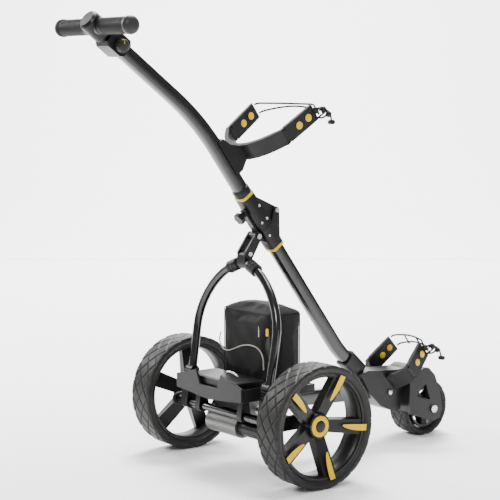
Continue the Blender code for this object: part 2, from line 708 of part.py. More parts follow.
def gearbox():
    tip = GEAR_PITCH_R + 0.9 * GEAR_MODULE
    small = PINION_PITCH_R + 0.9 * GEAR_MODULE
    outer = pair_hull(yz(AXLE), tip + 0.0015 + CASE_WALL, yz(MOTOR_AXIS),
                      max(small, MOTOR_R) + 0.0015 + CASE_WALL * 0.6, 16)
    inner = pair_hull(yz(AXLE), tip + 0.0015, yz(MOTOR_AXIS), small + 0.0015, 14)
    saddle = through((-0.2, 0.2), RAIL, RAIL_R + GAP, 20)
    way = through((-0.2, 0.2), AXLE, AXLE_R + 0.0015, 16)
    gear_low = CASE_SPLIT - GEAR_W / 2
    gear_high = CASE_SPLIT + GEAR_W / 2
    for word, low, high, hollow in (
            ("left", CASE_LEFT, CASE_SPLIT - GAP / 2, (gear_low - 0.0015, CASE_SPLIT + 0.01)),
            ("right", CASE_SPLIT + GAP / 2, CASE_RIGHT, (CASE_SPLIT - 0.01, gear_high + 0.0015))):
        shell = prism(outer, low, high)
        if word == "left":
            shell = join(shell, through((low - NECK_L, low + 0.01), AXLE, NECK_R, 24))
            low -= NECK_L
        shell = cut(shell, prism(inner, *hollow), saddle, way)
        if word == "right":
            shell = cut(shell, through((CASE_SPLIT, 0.2), MOTOR_AXIS, 0.006, 12))
        end = low if word == "left" else high
        pocket_x = sorted((end - 0.02 * (1 if word == "left" else -1),
                           end + (BEARING_W + GAP) * (1 if word == "left" else -1)))
        shell = cut(shell, through(pocket_x, AXLE, BEARING_R + GAP, 20))
        put("gearbox_half_" + word, shell, "cast_metal", bevel=0.0)
        seat = (low + GAP, low + BEARING_W) if word == "left" else (high - BEARING_W, high - GAP)
        put("gearbox_bearing_" + word, ring_x(*seat, AXLE, BEARING_R, AXLE_R + RUN, 20), "steel")

    gear = prism(turned_outline(gear_outline(GEAR_TEETH, GEAR_MODULE), MOTOR_TURN, AXLE),
                 gear_low, gear_high)
    put("drive_gear", cut(gear, through((-0.1, 0.1), AXLE, AXLE_R + GAP, 16)), "steel", AXLE)
    half_tooth = math.pi / PINION_TEETH
    pinion = prism(turned_outline(gear_outline(PINION_TEETH, GEAR_MODULE),
                                  MOTOR_TURN + math.pi + half_tooth, MOTOR_AXIS),
                   gear_low + 0.001, gear_high - 0.001)
    shaft = through((gear_low, CASE_RIGHT - GAP), MOTOR_AXIS, 0.004, 12)
    put("motor_pinion", join(pinion, shaft), "steel", MOTOR_AXIS)

    start = CASE_RIGHT + GAP
    place = along(Vector((start, MOTOR_AXIS.y, MOTOR_AXIS.z)),
                  Vector((start + MOTOR_L, MOTOR_AXIS.y, MOTOR_AXIS.z)))
    profile = [(MOTOR_R, 0), (MOTOR_R, 0.010), (MOTOR_R - 0.0012, 0.011),
               (MOTOR_R - 0.0012, MOTOR_L - 0.022), (MOTOR_R, MOTOR_L - 0.021),
               (MOTOR_R, MOTOR_L - 0.006), (MOTOR_R - 0.004, MOTOR_L - 0.001), (0.008, MOTOR_L)]
    put("motor", turned(profile, place, 28), "black_plastic")


def rear_frame():
    put("rear_rail", ring_x(-RAIL_HALF, RAIL_HALF, RAIL, RAIL_R, RAIL_R - RAIL_WALL, 20),
        "black_tube")
    gearbox()

    def hanger(side, word):
        low, high = sorted((side * (RAIL_HALF - 0.004), side * (RAIL_HALF - 0.004 - HANGER_W)))
        plate = prism(pair_hull(yz(AXLE), BEARING_R + 0.005, yz(RAIL), RAIL_R + 0.005), low, high)
        plate = cut(plate, through((low - 1, high + 1), RAIL, RAIL_R + GAP, 20),
                    through((low - 1, high + 1), AXLE, AXLE_R + RUN, 20))
        put("axle_hanger_" + word, plate, "black_plastic", bevel=0.0008)
    sides(hanger)

    tray()
    beam = Matrix.Translation(BEAM_REAR) @ (BEAM_PIVOT - BEAM_REAR).to_track_quat(
        'Z', 'X').to_matrix().to_4x4()
    length = (BEAM_PIVOT - BEAM_REAR).length + 0.012
    outer = rounded(BEAM_H, BEAM_W, 0.004, 3)
    inner = rounded(BEAM_H - 0.004, BEAM_W - 0.004, 0.002, 3)
    rings = [[beam @ Vector((x, y, z)) for x, y in ring]
             for ring, z in ((outer, 0), (outer, length), (inner, length), (inner, 0))]
    tube = loft(rings, closed=True)
    hole = rod(BEAM_PIVOT - Vector((0.1, 0, 0)), BEAM_PIVOT + Vector((0.1, 0, 0)),
               0.004 + GAP, 14)
    put("lower_beam", cut(tube, hole), "black_tube", bevel=0.0)


def tray():
    z0 = AXLE.z
    bottom = z0 + TRAY_FLOOR - 0.011
    keel = z0 + TRAY_FLOOR - 0.022
    w, t = TRAY_HALF, TRAY_WALL
    floor_z, side_z = z0 + TRAY_FLOOR, z0 + TRAY_SIDE
    section = [(-w, bottom), (0, keel), (w, bottom), (w, side_z), (w - t, side_z),
               (w - t, floor_z), (t - w, floor_z), (t - w, side_z), (-w, side_z)]
    # the section is (X, Z); it runs along Y
    turn = Matrix(((1, 0, 0, 0), (0, 0, 1, 0), (0, 1, 0, 0), (0, 0, 0, 1)))
    trough = slab(section, -TRAY_BACK + t, TRAY_FRONT - t, turn)
    panel = [(-w, bottom), (0, keel), (w, bottom), (w, z0 + 0.079), (0.050, z0 + 0.101),
             (0.034, z0 + 0.066), (-0.034, z0 + 0.066), (-0.050, z0 + 0.101), (-w, z0 + 0.079)]
    rear = slab(panel, -TRAY_BACK, -TRAY_BACK + t + 0.001, turn)
    front = slab([(-w, bottom), (0, keel), (w, bottom), (w, z0 + TRAY_SIDE_LOW),
                  (-w, z0 + TRAY_SIDE_LOW)], TRAY_FRONT - t - 0.001, TRAY_FRONT, turn)
    body = join(trough, rear, front)
    body = cut(body, box((-0.2, -BAG_BACK - 0.012, z0 + TRAY_SIDE_LOW), (0.2, 0.3, z0 + 0.2)))
    # hull of the gearbox top is kept clear below the keel
    reach = GEAR_PITCH_R + 0.9 * GEAR_MODULE + CASE_WALL + 0.0025
    room = through((CASE_LEFT - 0.002, CASE_RIGHT + 0.002), AXLE, reach, 40)
    body = cut(body, room)
    put("battery_tray", body, "black_plastic", bevel=0.0015)

    def clamp(place_x, word):
        low = Vector((place_x, RAIL.y, RAIL.z))
        top = keel_at(place_x)
        outline = pair_hull(yz(RAIL), RAIL_R + 0.005, (RAIL.y, top - 0.012), 0.010)
        block = prism(outline, low.x - 0.009, low.x + 0.009)
        roof = box((-1, -1, top - 0.0035), (1, 1, 1))
        block = cut(block, through((-1, 1), RAIL, RAIL_R + GAP, 20), roof)
        put("tray_clamp_" + word, block, "black_plastic", bevel=0.0)

    def keel_at(x):
        share = 1 - abs(x) / TRAY_HALF
        return bottom + (keel - bottom) * share
    clamp(-0.098, "left")
    clamp(0.072, "right")

    deck_top = z0 + TRAY_FLOOR + 0.030
    put("controller_box", box((-0.100, -TRAY_BACK + t + 0.006, floor_z + GAP),
                              (0.100, -BAG_BACK - 0.014, deck_top)), "black_plastic", bevel=0.003)


# ---------------------------------------------------------------- battery
def battery():
    low_z = AXLE.z + TRAY_FLOOR + 2 * GAP
    low = Vector((-BAG_W / 2, -BAG_BACK, low_z))
    high = Vector((BAG_W / 2, -BAG_BACK + BAG_D, low_z + BAG_H))
    outline = [(x, y + (low.y + high.y) / 2) for x, y in rounded(BAG_W, BAG_D, 0.014, 4)]
    outer = slab(outline, low.z, high.z)
    hollow = box(low + Vector((BAG_CLOTH, BAG_CLOTH, -0.01)),
                 high - Vector((BAG_CLOTH, BAG_CLOTH, 0.03)))
    put("battery_bag", cut(outer, hollow), "cloth", low)
    ease = BAG_CLOTH + PACK_EASE
    put("battery_pack", box(low + Vector((ease, ease, 0)), high - Vector((ease, ease, 0.036))),
        "black_plastic", low, bevel=0.004)
    lead(low.y)


def smooth_path(points, spacing):
    """Points about `spacing` apart on a smooth curve through the given ones."""
    ends = [points[0] * 2 - points[1]] + points + [points[-1] * 2 - points[-2]]
    fine = []
    for a, b, c, d in zip(ends, ends[1:], ends[2:], ends[3:]):
        count = max(2, round((c - b).length / spacing))
        for k in range(count):
            t = k / count
            fine.append(0.5 * ((2 * b) + (c - a) * t + (2 * a - 5 * b + 4 * c - d) * t * t
                               + (3 * b - a - 3 * c + d) * t ** 3))
    return fine + [points[-1].copy()]


def cord(name, route, diameter, finish, spacing=None):
    """Round cord along a route, as a bevelled curve with closed ends."""
    points = smooth_path([Vector(point) for point in route], spacing or diameter * 2.6)
    curve = bpy.data.curves.new(name, 'CURVE')
    curve.dimensions = '3D'
    curve.bevel_depth = diameter / 2
    curve.bevel_resolution = 2
    curve.use_fill_caps = True
    spline = curve.splines.new('POLY')
    spline.points.add(len(points) - 1)
    for target, point in zip(spline.points, points):
        target.co = (*point, 1)
    shape = bpy.data.objects.new(name, curve)
    bpy.context.collection.objects.link(shape)
    curve.materials.append(material(finish))
    return shape


def lead(face_y):
    """Lead across the bag's rear face, and the plug that hangs at its end."""
    off = LEAD_D / 2 + 0.0005
    y = face_y - off
    route = [(-0.093, y, 0.3225), (-0.099, y, 0.306), (-0.095, y, 0.291), (-0.083, y, 0.281),
             (-0.066, y, 0.279), (-0.047, y, 0.284), (-0.029, y, 0.291), (-0.010, y, 0.298),
             (0.014, y, 0.303), (0.036, y, 0.304), (0.056, y, 0.300), (0.070, y, 0.290),
             (0.077, y, 0.276), (0.078, y, 0.262), (0.0785, y, 0.250)]
    cord("battery_lead", route, LEAD_D, "grey_lead")


# ---------------------------------------------------------------- wheels
def wheel(name_rim, name_tyre, centre, outer_r, width, wall, spokes, hub_r, bore, dish, side,
          pivot, depth, count, phase):
    """A tyre and its spoked rim, standing across X; `side` is +1 when its outer face is at +X."""
    place = Matrix.Translation(centre) @ SPIN
    if side < 0:
        place = Matrix.Translation(centre) @ Matrix.Rotation(math.pi, 4, 'Z') @ SPIN
    half = width / 2
    shoulder = 0.16 * width
    bead = outer_r - wall
    tyre = [(bead, -half * 0.80), (bead + wall * 0.35, -half * 0.95), (outer_r - wall * 0.30, -half),
            (outer_r - wall * 0.08, -half + shoulder * 0.35), (outer_r, -half + shoulder),
            (outer_r, half - shoulder), (outer_r - wall * 0.08, half - shoulder * 0.35),
            (outer_r - wall * 0.30, half), (bead + wall * 0.35, half * 0.95), (bead, half * 0.80)]
    put(name_tyre, turned(tyre, place, count, closed=True), "rubber", pivot)
    seat = bead - GAP
    lip = 0.0055
    barrel = [(seat - lip, -half * 0.78), (seat, -half * 0.80), (seat, half * 0.80),
              (seat - lip, half * 0.78)]
    rim = turned(barrel, place, count, closed=True)
    hub = turned([(hub_r, -depth * 0.62), (hub_r, dish)], place, 24)
    parts = [hub]
    for k in range(spokes):
        angle = phase + 2 * math.pi * k / spokes
        turn = place @ Matrix.Rotation(angle, 4, 'Z')
        # section of the spoke: inner end low in the dish, outer end near the rim's face
        r0, r1 = hub_r * 0.80, seat - lip * 0.5
        w0, w1 = hub_r * 0.56, hub_r * 0.70
        rings = []
        for r, w, low, high in ((r0, w0, -depth * 0.45, dish - 0.002),
                                (r1, w1, half * 0.30, half * 0.74)):
            rings.append([turn @ Vector((r, -w, low)), turn @ Vector((r, w, low)),
                          turn @ Vector((r, w * 0.86, high)), turn @ Vector((r, -w * 0.86, high))])
        parts.append(loft(rings))
    rim = join(rim, *parts)
    hole = rod(centre - Vector((0.2, 0, 0)), centre + Vector((0.2, 0, 0)), bore, 16)
    put(name_rim, cut(rim, hole), "black_plastic", pivot)


def wheels():
    half = TYRE_W / 2

    def rear(side, word):
        centre = AXLE + Vector((side * (TRACK_OUT / 2 - half), 0, 0))
        wheel("rear_rim_" + word, "rear_tyre_" + word, centre, WHEEL_R, TYRE_W, TYRE_WALL, 5,
              HUB_R, AXLE_R + GAP, 0.010, side, AXLE, 0.036, 48,
              SPOKE_TURN if side > 0 else SPOKE_TURN_LEFT)
        face = centre.x + side * 0.010
        base = Vector((face + side * GAP, AXLE.y, AXLE.z))
        profile = [(0.0265, 0), (0.0265, 0.0035), (0.0235, 0.0065), (0.012, 0.0085)]
        put("hub_cap_" + word, turned(profile, along(base, base + Vector((side, 0, 0))), 28),
            "yellow", AXLE)
    sides(rear)
    reach = TRACK_OUT / 2 - half + 0.008
    put("drive_axle", through((-reach, reach), AXLE, AXLE_R, 16), "steel", AXLE)

    wheel("front_rim", "front_tyre", FRONT, FRONT_R, FRONT_TYRE_W, 0.021, 5, 0.016,
          FRONT_AXLE_R + RUN, 0.020, 1, FRONT, 0.034, 36, 0.0)


# ---------------------------------------------------------------- front end
def front_end():
    half = BRACKET_W / 2
    n = NOSE
    outline = [(-0.028, 0.040), (0.008, -0.016), (0.044, -0.051), (0.078, -0.066),
               (0.112, -0.068), (0.118, -0.020), (0.140, 0.006), (0.148, 0.020), (0.134, 0.038),
               (0.090, 0.040), (0.030, 0.044), (0.000, 0.048)]
    body = prism([(n.y + y, n.z + z) for y, z in outline], -half, half)
    ahead = lower_end_direction()
    end = lower_path()[-1]
    collar = loft(tube_rings([end - ahead * 0.048, end + ahead * 0.010], 0.043, 0.046, 0.010))
    body = join(body, collar, lower_band())
    tube_way = tube_room(lower_path(), LOWER_SIZE)
    beam = Matrix.Translation(BEAM_REAR) @ (BEAM_PIVOT - BEAM_REAR).to_track_quat(
        'Z', 'X').to_matrix().to_4x4()
    length = (BEAM_PIVOT - BEAM_REAR).length
    beam_room = loft([[beam @ Vector((x, y, z)) for x, y in
                       rounded(BEAM_H + 2 * RUN, BEAM_W + 2 * RUN, 0.005, 3)]
                      for z in (0, length + 0.014)])
    wheel_room = through((-0.2, 0.2), FRONT, FRONT_R + WHEEL_AIR, 40)
    bolt_way = through((-0.2, 0.2), BEAM_PIVOT, 0.004 + GAP, 14)
    body = cut(body, tube_way, beam_room, wheel_room, bolt_way)
    put("front_bracket", body, "black_plastic", bevel=0.0)
    reach = half + GAP
    bolt = join(through((-reach - 0.003, reach + 0.003), BEAM_PIVOT, 0.004, 14),
                through((reach, reach + 0.004), BEAM_PIVOT, 0.0062, 6),
                through((-reach - 0.004, -reach), BEAM_PIVOT, 0.0062, 6))
    put("beam_pivot_bolt", bolt, "steel")

    # fork: two side plates and a crown over the wheel, round the bracket's nose
    out = FORK_OUT / 2
    f = FRONT
    shape = [(-0.088, 0.020), (-0.080, -0.006), (-0.060, -0.012), (-0.026, -0.026), (0.004, -0.034),
             (0.026, -0.026), (0.034, -0.004), (0.030, 0.022), (0.018, 0.060), (0.004, 0.092),
             (-0.018, 0.112), (-0.036, 0.114), (-0.062, 0.102), (-0.086, 0.080)]
    plate = [(f.y + y, f.z + z) for y, z in shape]
    window = [(f.y + y, f.z + z) for y, z in ((-0.028, 0.070), (-0.064, 0.040), (-0.012, 0.026))]
    inner = out - FORK_T
    fork = cut(prism(plate, -out, out),
               through((-inner, inner), FRONT, FRONT_R + WHEEL_AIR, 40))
    seat = [(n.y + y, n.z + z) for y, z in outline]
    middle = (sum(p[0] for p in seat) / len(seat), sum(p[1] for p in seat) / len(seat))
    grown = [(middle[0] + (y - middle[0]) * 1.012, middle[1] + (z - middle[1]) * 1.012)
             for y, z in seat]
    keep = prism(grown, -half - GAP, half + GAP)
    fork = cut(fork, keep, prism(window, -0.2, 0.2),
               through((-0.2, 0.2), FRONT, FRONT_AXLE_R + GAP, 14))
    put("front_fork", fork, "black_plastic", bevel=0.0)
    axle = join(through((-out - 0.004, out + 0.004), FRONT, FRONT_AXLE_R, 14),
                through((out + GAP, out + 0.005), FRONT, 0.0085, 6),
                through((-out - 0.005, -out - GAP), FRONT, 0.0085, 6))
    put("front_axle", axle, "steel")


# ---------------------------------------------------------------- bag cradles
def cradle_place(centre, tilt):
    """X across, Y out along the arms, Z up along the tube."""
    return Matrix.Translation(centre) @ Matrix.Rotation(tilt, 4, 'X')


def band_outline(root_y, arm_x, arm_y, steps=8):
    """U shape in (X, Y) of even thickness, from one arm's end round the middle to the other."""
    outer = []
    for k in range(steps + 1):
        share = k / steps
        outer.append((arm_x * share, root_y + (arm_y - root_y) * share ** 2.2))
    inner = []
    for index, (x, y) in enumerate(outer):
        before, after = outer[max(index - 1, 0)], outer[min(index + 1, steps)]
        dx, dy = after[0] - before[0], after[1] - before[1]
        size = math.hypot(dx, dy)
        inner.append((x - dy / size * BAND_T, y + dx / size * BAND_T))
    inner[0] = (0.0, root_y + BAND_T)
    inner[-1] = (arm_x - PAD_T, arm_y)
    left_outer = [(-x, y) for x, y in outer[:0:-1]]
    left_inner = [(-x, y) for x, y in inner[1:]]
    return left_outer + outer + inner[::-1] + left_inner


def upper_place():
    centre, _ = on_upper(UPPER_CRADLE_AT)
    return cradle_place(centre, UPPER_CRADLE_TILT)


def lower_place():
    return cradle_place(NOSE, LOWER_CRADLE_TILT)


def band(place, root_y, arm_x, span, height, drop):
    """U-shaped band with an ear above and below each pad's root."""
    outline = band_outline(root_y, arm_x + PAD_T / 2, span[0])
    solid = slab(outline, -drop - height / 2, -drop + height / 2, place)
    solid = join(solid, *pad_ears(place, arm_x, span, height, drop))
    return cut(solid, *pin_ways(place, arm_x, span, height, drop))


def lower_band():
    return band(lower_place(), 0.052, LOWER_ARM_X, LOWER_PAD, LOWER_PAD_H, LOWER_BAND_DROP)


def upper_base():
    place = upper_place()
    body = band(place, 0.050, UPPER_ARM_X, UPPER_PAD, UPPER_PAD_H, UPPER_BAND_DROP)
    neck = prism([(0.004, -0.062), (0.024, -0.062), (0.056, -0.044), (0.056, -0.014),
                  (0.030, 0.010), (0.020, 0.034), (0.004, 0.034)], -0.019, 0.019, place)
    room = tube_room(upper_path(), UPPER_SIZE)
    put("upper_cradle", cut(join(body, neck), room), "black_plastic", PIVOT)


def pad_ears(place, arm_x, span, height, drop):
    """Two ears at each end of a band, bored for the pad's pin."""
    made = []
    reach = span[0] + EAR_R + RUN
    for side in (-1, 1):
        middle = side * arm_x
        outline = [(middle + EAR_R, span[0] - 0.004)]
        outline += [(middle + x, reach + y) for x, y in circle(EAR_R, 7, 0, math.pi)]
        outline += [(middle - EAR_R, span[0] - 0.004)]
        edge = height / 2 - GAP
        for low, high in ((-drop - edge, -drop - height / 2 + EAR_T),
                          (-drop + height / 2 - EAR_T, -drop + edge)):
            made.append(slab(outline, low, high, place))
    return made


def pin_ways(place, arm_x, span, height, drop):
    reach = span[0] + EAR_R + RUN
    return [rod(place @ Vector((side * arm_x, reach, -drop - height / 2 + 0.0012)),
                place @ Vector((side * arm_x, reach, -drop + height / 2 - 0.0012)), PIN_R + RUN, 10)
            for side in (-1, 1)]


def pads():
    for level, place, arm_x, span, height, drop, lean in (
            ("upper", upper_place(), UPPER_ARM_X, UPPER_PAD, UPPER_PAD_H, UPPER_BAND_DROP,
             UPPER_LEAN),
            ("lower", lower_place(), LOWER_ARM_X, LOWER_PAD, LOWER_PAD_H, LOWER_BAND_DROP,
             LOWER_LEAN)):
        length = span[1] - span[0] - EAR_R - RUN
        shift = lean * length
        half = PAD_T / 2
        top = [(half + shift * 0.5, length * 0.5), (half + shift - 0.001, length - 0.004),
               (shift, length), (-half + shift + 0.001, length - 0.004),
               (-half + shift * 0.5, length * 0.5)]
        root = [(x, y) for x, y in circle(half - 0.0002, 6, math.pi, math.pi)]
        start = EAR_R + 2 * RUN
        for side, word in ((-1, "left"), (1, "right")):
            spot = place @ Matrix.Translation((side * arm_x, span[0] + EAR_R + RUN, -drop))
            inside = height / 2 - EAR_T - RUN
            tongue = slab([(side * x, y) for x, y in root + [(half, start + 0.002),
                                                             (-half, start + 0.002)]],
                          -inside, inside, spot)
            panel = slab([(side * x, y) for x, y in [(-half, start), (half, start)] + top],
                         -height / 2, height / 2, spot)
            pin = rod(spot @ Vector((0, 0, -height / 2 + 0.002)),
                      spot @ Vector((0, 0, height / 2 - 0.002)), PIN_R, 10)
            put("%s_pad_%s" % (level, word), join(panel, tongue, pin), "rubber", spot.translation)


# ---------------------------------------------------------------- handle
def handle():
    centre = handle_centre()
    direction = upper_end_direction()
    put("handle_bar", ring_x(-BAR_HALF, BAR_HALF, centre, BAR_R, BAR_R - 0.002, 20), "black_tube",
        PIVOT)
    # clamp: a hub along the tube's own direction, split round the bar
    low = centre - direction * 0.028
    hub = turned([(CLAMP_R - 0.003, 0), (CLAMP_R, 0.004), (CLAMP_R, 0.052), (CLAMP_R - 0.005, 0.058)],
                 along(low, centre), 28)
    wide = ring_x(-CLAMP_W / 2, CLAMP_W / 2, centre, GRIP_R + 0.001, BAR_R + GAP, 24)
    hub = join(hub, wide)
    hub = cut(hub, through((-0.1, 0.1), centre, BAR_R + GAP, 20))
    room = tube_room(upper_path(), UPPER_SIZE)
    put("handle_clamp", cut(hub, room), "black_plastic", PIVOT)

    def grip(side, word):
        start = CLAMP_W / 2 + GAP
        end = BAR_HALF - 0.004
        low, high = sorted((side * start, side * end))
        sleeve_part = through((low, high), centre, GRIP_R, 24)
        base = centre + Vector((side * (end - 0.002), 0, 0))
        profile = [(CAP_R, 0.0), (CAP_R, 0.006), (CAP_R * 0.86, 0.0115),
                   (CAP_R * 0.5, CAP_L), (CAP_R * 0.1, CAP_L + 0.001)]
        cap = turned(profile, along(base, base + Vector((side, 0, 0))), 24)
        room = through(sorted((side * start * 0.5, side * (BAR_HALF + GAP))), centre,
                       BAR_R + GAP, 20)
        put("grip_" + word, cut(join(sleeve_part, cap), room), "rubber", PIVOT)
    sides(grip)

    # control box round the tube, with the speed knob on its right side
    at, heading = on_upper(UPPER_LENGTH - 0.055)
    front = Vector((0, heading.z, -heading.y))
    place = Matrix(((1, 0, 0, 0), (0, front.y, heading.y, at.y), (0, front.z, heading.z, at.z),
                    (0, 0, 0, 1)))
    shell = prism([(-0.0245, -0.022), (-0.018, -0.032), (0.012, -0.032), (0.0215, -0.024),
                   (0.0215, 0.018), (0.014, 0.024), (-0.018, 0.024), (-0.0245, 0.016)],
                  -BOX_HALF, BOX_HALF, place)
    knob_at = place @ Vector((BOX_HALF, -0.0045, -0.0093))
    button_at = place @ Vector((0, 0.0215, -0.010))
    out_dir = front
    shell = cut(shell, tube_room(upper_path(), UPPER_SIZE),
                through((BOX_HALF - 0.006, BOX_HALF + 0.03), knob_at, 0.0042 + RUN, 12),
                rod(button_at - out_dir * 0.0042, button_at + out_dir * 0.01, BUTTON_R + RUN, 14))
    put("control_box", shell, "black_plastic", PIVOT)
    start = BOX_HALF + RUN
    stem = through((BOX_HALF - 0.0045, start + 0.001), knob_at, 0.0042, 12)
    ridges = 14
    ring = []
    for k in range(ridges * 2):
        angle = math.pi * k / ridges
        radius = KNOB_R if k % 2 else KNOB_R - 0.0008
        ring.append((knob_at.y + radius * math.cos(angle), knob_at.z + radius * math.sin(angle)))
    put("speed_knob", join(prism(ring, start, start + KNOB_L), stem), "black_plastic", knob_at)
    put("power_button", rod(button_at - out_dir * 0.0008, button_at + out_dir * 0.0024, BUTTON_R,
                            14), "yellow", button_at)


# ---------------------------------------------------------------- bungees
def bungees():
    """One elastic cord per cradle, doubled back at the right pad and fixed at the left one."""
    for level, place, arm_x, span, drop, lean, rise, sags in (
            ("upper", upper_place(), UPPER_ARM_X, UPPER_PAD, UPPER_BAND_DROP, UPPER_LEAN, 0.013,
             (0.002, 0.026)),
            ("lower", lower_place(), LOWER_ARM_X, LOWER_PAD, LOWER_BAND_DROP, LOWER_LEAN, 0.017,
             (0.010, 0.016))):
        tip_x = arm_x + lean * (span[1] - span[0])
        y = span[1] + CORD_D / 2 + 0.001
        stretch = []
        for share in (-0.92, -0.62, -0.3, 0.0, 0.3, 0.62, 0.92):
            belly = 1 - share * share
            stretch.append((share, belly))
        high = [(tip_x * x, y + 0.006 + sags[0] * k, -drop + rise) for x, k in stretch]
        low = [(tip_x * x, y + 0.006 + sags[1] * k, -drop - rise) for x, k in reversed(stretch)]
        bend = [(tip_x + 0.004, y, -drop + rise * 0.8), (tip_x + 0.007, y, -drop),
                (tip_x + 0.004, y, -drop - rise * 0.8)]
        start = [(-tip_x, y, -drop + rise)]
        end = [(-tip_x, y, -drop - rise)]
        cord(level + "_bungee", [place @ Vector(p) for p in start + high + bend + low + end],
             CORD_D, "cord")


def clear_scene():
    for thing in list(bpy.data.objects):
        bpy.data.objects.remove(thing)


def main():
    clear_scene()
    main_tubes()
    hinge()
    arch()
    rear_frame()
    battery()
    wheels()
    front_end()
    upper_base()
    pads()
    handle()
    bungees()


main()
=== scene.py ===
"""Looks of a folding electric golf trolley, built round its CAD frame."""
import json
import math

import bmesh
import bpy
from mathutils import Matrix, Vector


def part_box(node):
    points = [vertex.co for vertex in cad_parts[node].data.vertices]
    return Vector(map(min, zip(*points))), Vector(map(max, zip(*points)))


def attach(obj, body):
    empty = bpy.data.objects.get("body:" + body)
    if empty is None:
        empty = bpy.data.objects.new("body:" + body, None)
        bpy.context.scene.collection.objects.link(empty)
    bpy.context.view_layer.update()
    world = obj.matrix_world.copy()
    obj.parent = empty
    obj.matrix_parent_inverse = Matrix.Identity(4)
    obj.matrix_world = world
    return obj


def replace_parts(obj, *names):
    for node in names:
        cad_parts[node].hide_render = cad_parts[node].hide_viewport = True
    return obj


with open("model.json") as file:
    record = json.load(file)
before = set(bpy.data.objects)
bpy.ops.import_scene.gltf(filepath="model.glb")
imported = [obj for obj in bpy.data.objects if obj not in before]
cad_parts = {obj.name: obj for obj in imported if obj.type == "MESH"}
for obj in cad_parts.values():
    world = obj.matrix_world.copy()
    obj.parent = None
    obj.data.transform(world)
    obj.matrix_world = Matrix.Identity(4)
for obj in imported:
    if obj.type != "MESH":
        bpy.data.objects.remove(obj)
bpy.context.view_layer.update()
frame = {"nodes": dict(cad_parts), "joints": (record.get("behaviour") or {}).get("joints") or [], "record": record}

bl_info = {
    "name": "Golf Trolley Looks",
    "version": (1, 0, 0),
    "blender": (4, 5, 0),
    "location": "View3D > Sidebar > Trolley",
    "description": "Finishes and fine pieces of a folding electric golf trolley",
    "category": "Object",
}

TILT = math.radians(36.3)          # the hinge's lean back from upright
UPPER_TILT = math.radians(35.4)    # upper cradle
LOWER_TILT = math.radians(42.3)    # lower cradle
SPOKES = 5
REAR_R = 0.146                     # rear tyre, and its axle's height
FRONT_R = 0.0755                   # front tyre
LINER_R = 0.1185                   # ring inside each rear rim
REAR_PITCHES = 20                  # tread diamonds round a rear tyre
FRONT_PITCHES = 12
PITCH_ROWS = 32                    # mesh rows in one tread pitch
SHARP = math.radians(35)           # edges sharper than this are softened
AZIMUTH = math.radians(52.359)     # camera, round from straight behind
ELEVATION = math.radians(6.2835)
SIDES = ((1, "right"), (-1, "left"))
RIGHT_SPOKE = math.radians(-7)     # direction of one spoke, from forwards upwards
LEFT_SPOKE = math.radians(12)


finishes_by_slot = {}


# ---------------------------------------------------------------- materials
def finish(name, base, second, rough, metal=0.0, coat=0.0, scale=60.0, bump=0.12, pattern="noise"):
    """Principled material whose colour, roughness and relief come from a procedural pattern."""
    mat = bpy.data.materials.get(name) or bpy.data.materials.new(name)
    mat.use_nodes = True
    tree = mat.node_tree
    tree.nodes.clear()
    new, link = tree.nodes.new, tree.links.new
    out, shader = new("ShaderNodeOutputMaterial"), new("ShaderNodeBsdfPrincipled")
    place = new("ShaderNodeTexCoord")
    if pattern == "weave":
        texture = new("ShaderNodeTexWave")
        texture.bands_direction = "DIAGONAL"
        texture.inputs["Distortion"].default_value = 1.5
        texture.inputs["Detail"].default_value = 2.0
    elif pattern == "brushed":
        texture = new("ShaderNodeTexNoise")
        texture.inputs["Detail"].default_value = 2.0
    else:
        texture = new("ShaderNodeTexNoise")
        texture.inputs["Detail"].default_value = 6.0
        texture.inputs["Roughness"].default_value = 0.6
    texture.inputs["Scale"].default_value = scale
    stretch = new("ShaderNodeMapping")
    stretch.inputs["Scale"].default_value = (0.06, 1.0, 1.0) if pattern == "brushed" else (1.0, 1.0,
        1.0)
    link(place.outputs["Object"], stretch.inputs["Vector"])
    link(stretch.outputs["Vector"], texture.inputs["Vector"])
    value = texture.outputs["Fac"]
    mix = new("ShaderNodeMix")
    mix.data_type = "RGBA"
    mix.inputs["A"].default_value = (*base, 1)
    mix.inputs["B"].default_value = (*second, 1)
    link(value, mix.inputs["Factor"])
    link(mix.outputs["Result"], shader.inputs["Base Color"])
    span = new("ShaderNodeMapRange")
    span.inputs["To Min"].default_value = max(rough - 0.07, 0.03)
    span.inputs["To Max"].default_value = rough + 0.07
    link(value, span.inputs["Value"])
    link(span.outputs["Result"], shader.inputs["Roughness"])
    relief = new("ShaderNodeBump")
    relief.inputs["Strength"].default_value = bump
    relief.inputs["Distance"].default_value = 0.0006
    link(value, relief.inputs["Height"])
    link(relief.outputs["Normal"], shader.inputs["Normal"])
    shader.inputs["Metallic"].default_value = metal
    shader.inputs["Coat Weight"].default_value = coat
    shader.inputs["Coat Roughness"].default_value = 0.08
    shader.inputs["Specular IOR Level"].default_value = 0.5 if metal or coat > 0.3 else 0.25
    link(shader.outputs["BSDF"], out.inputs["Surface"])
    return mat


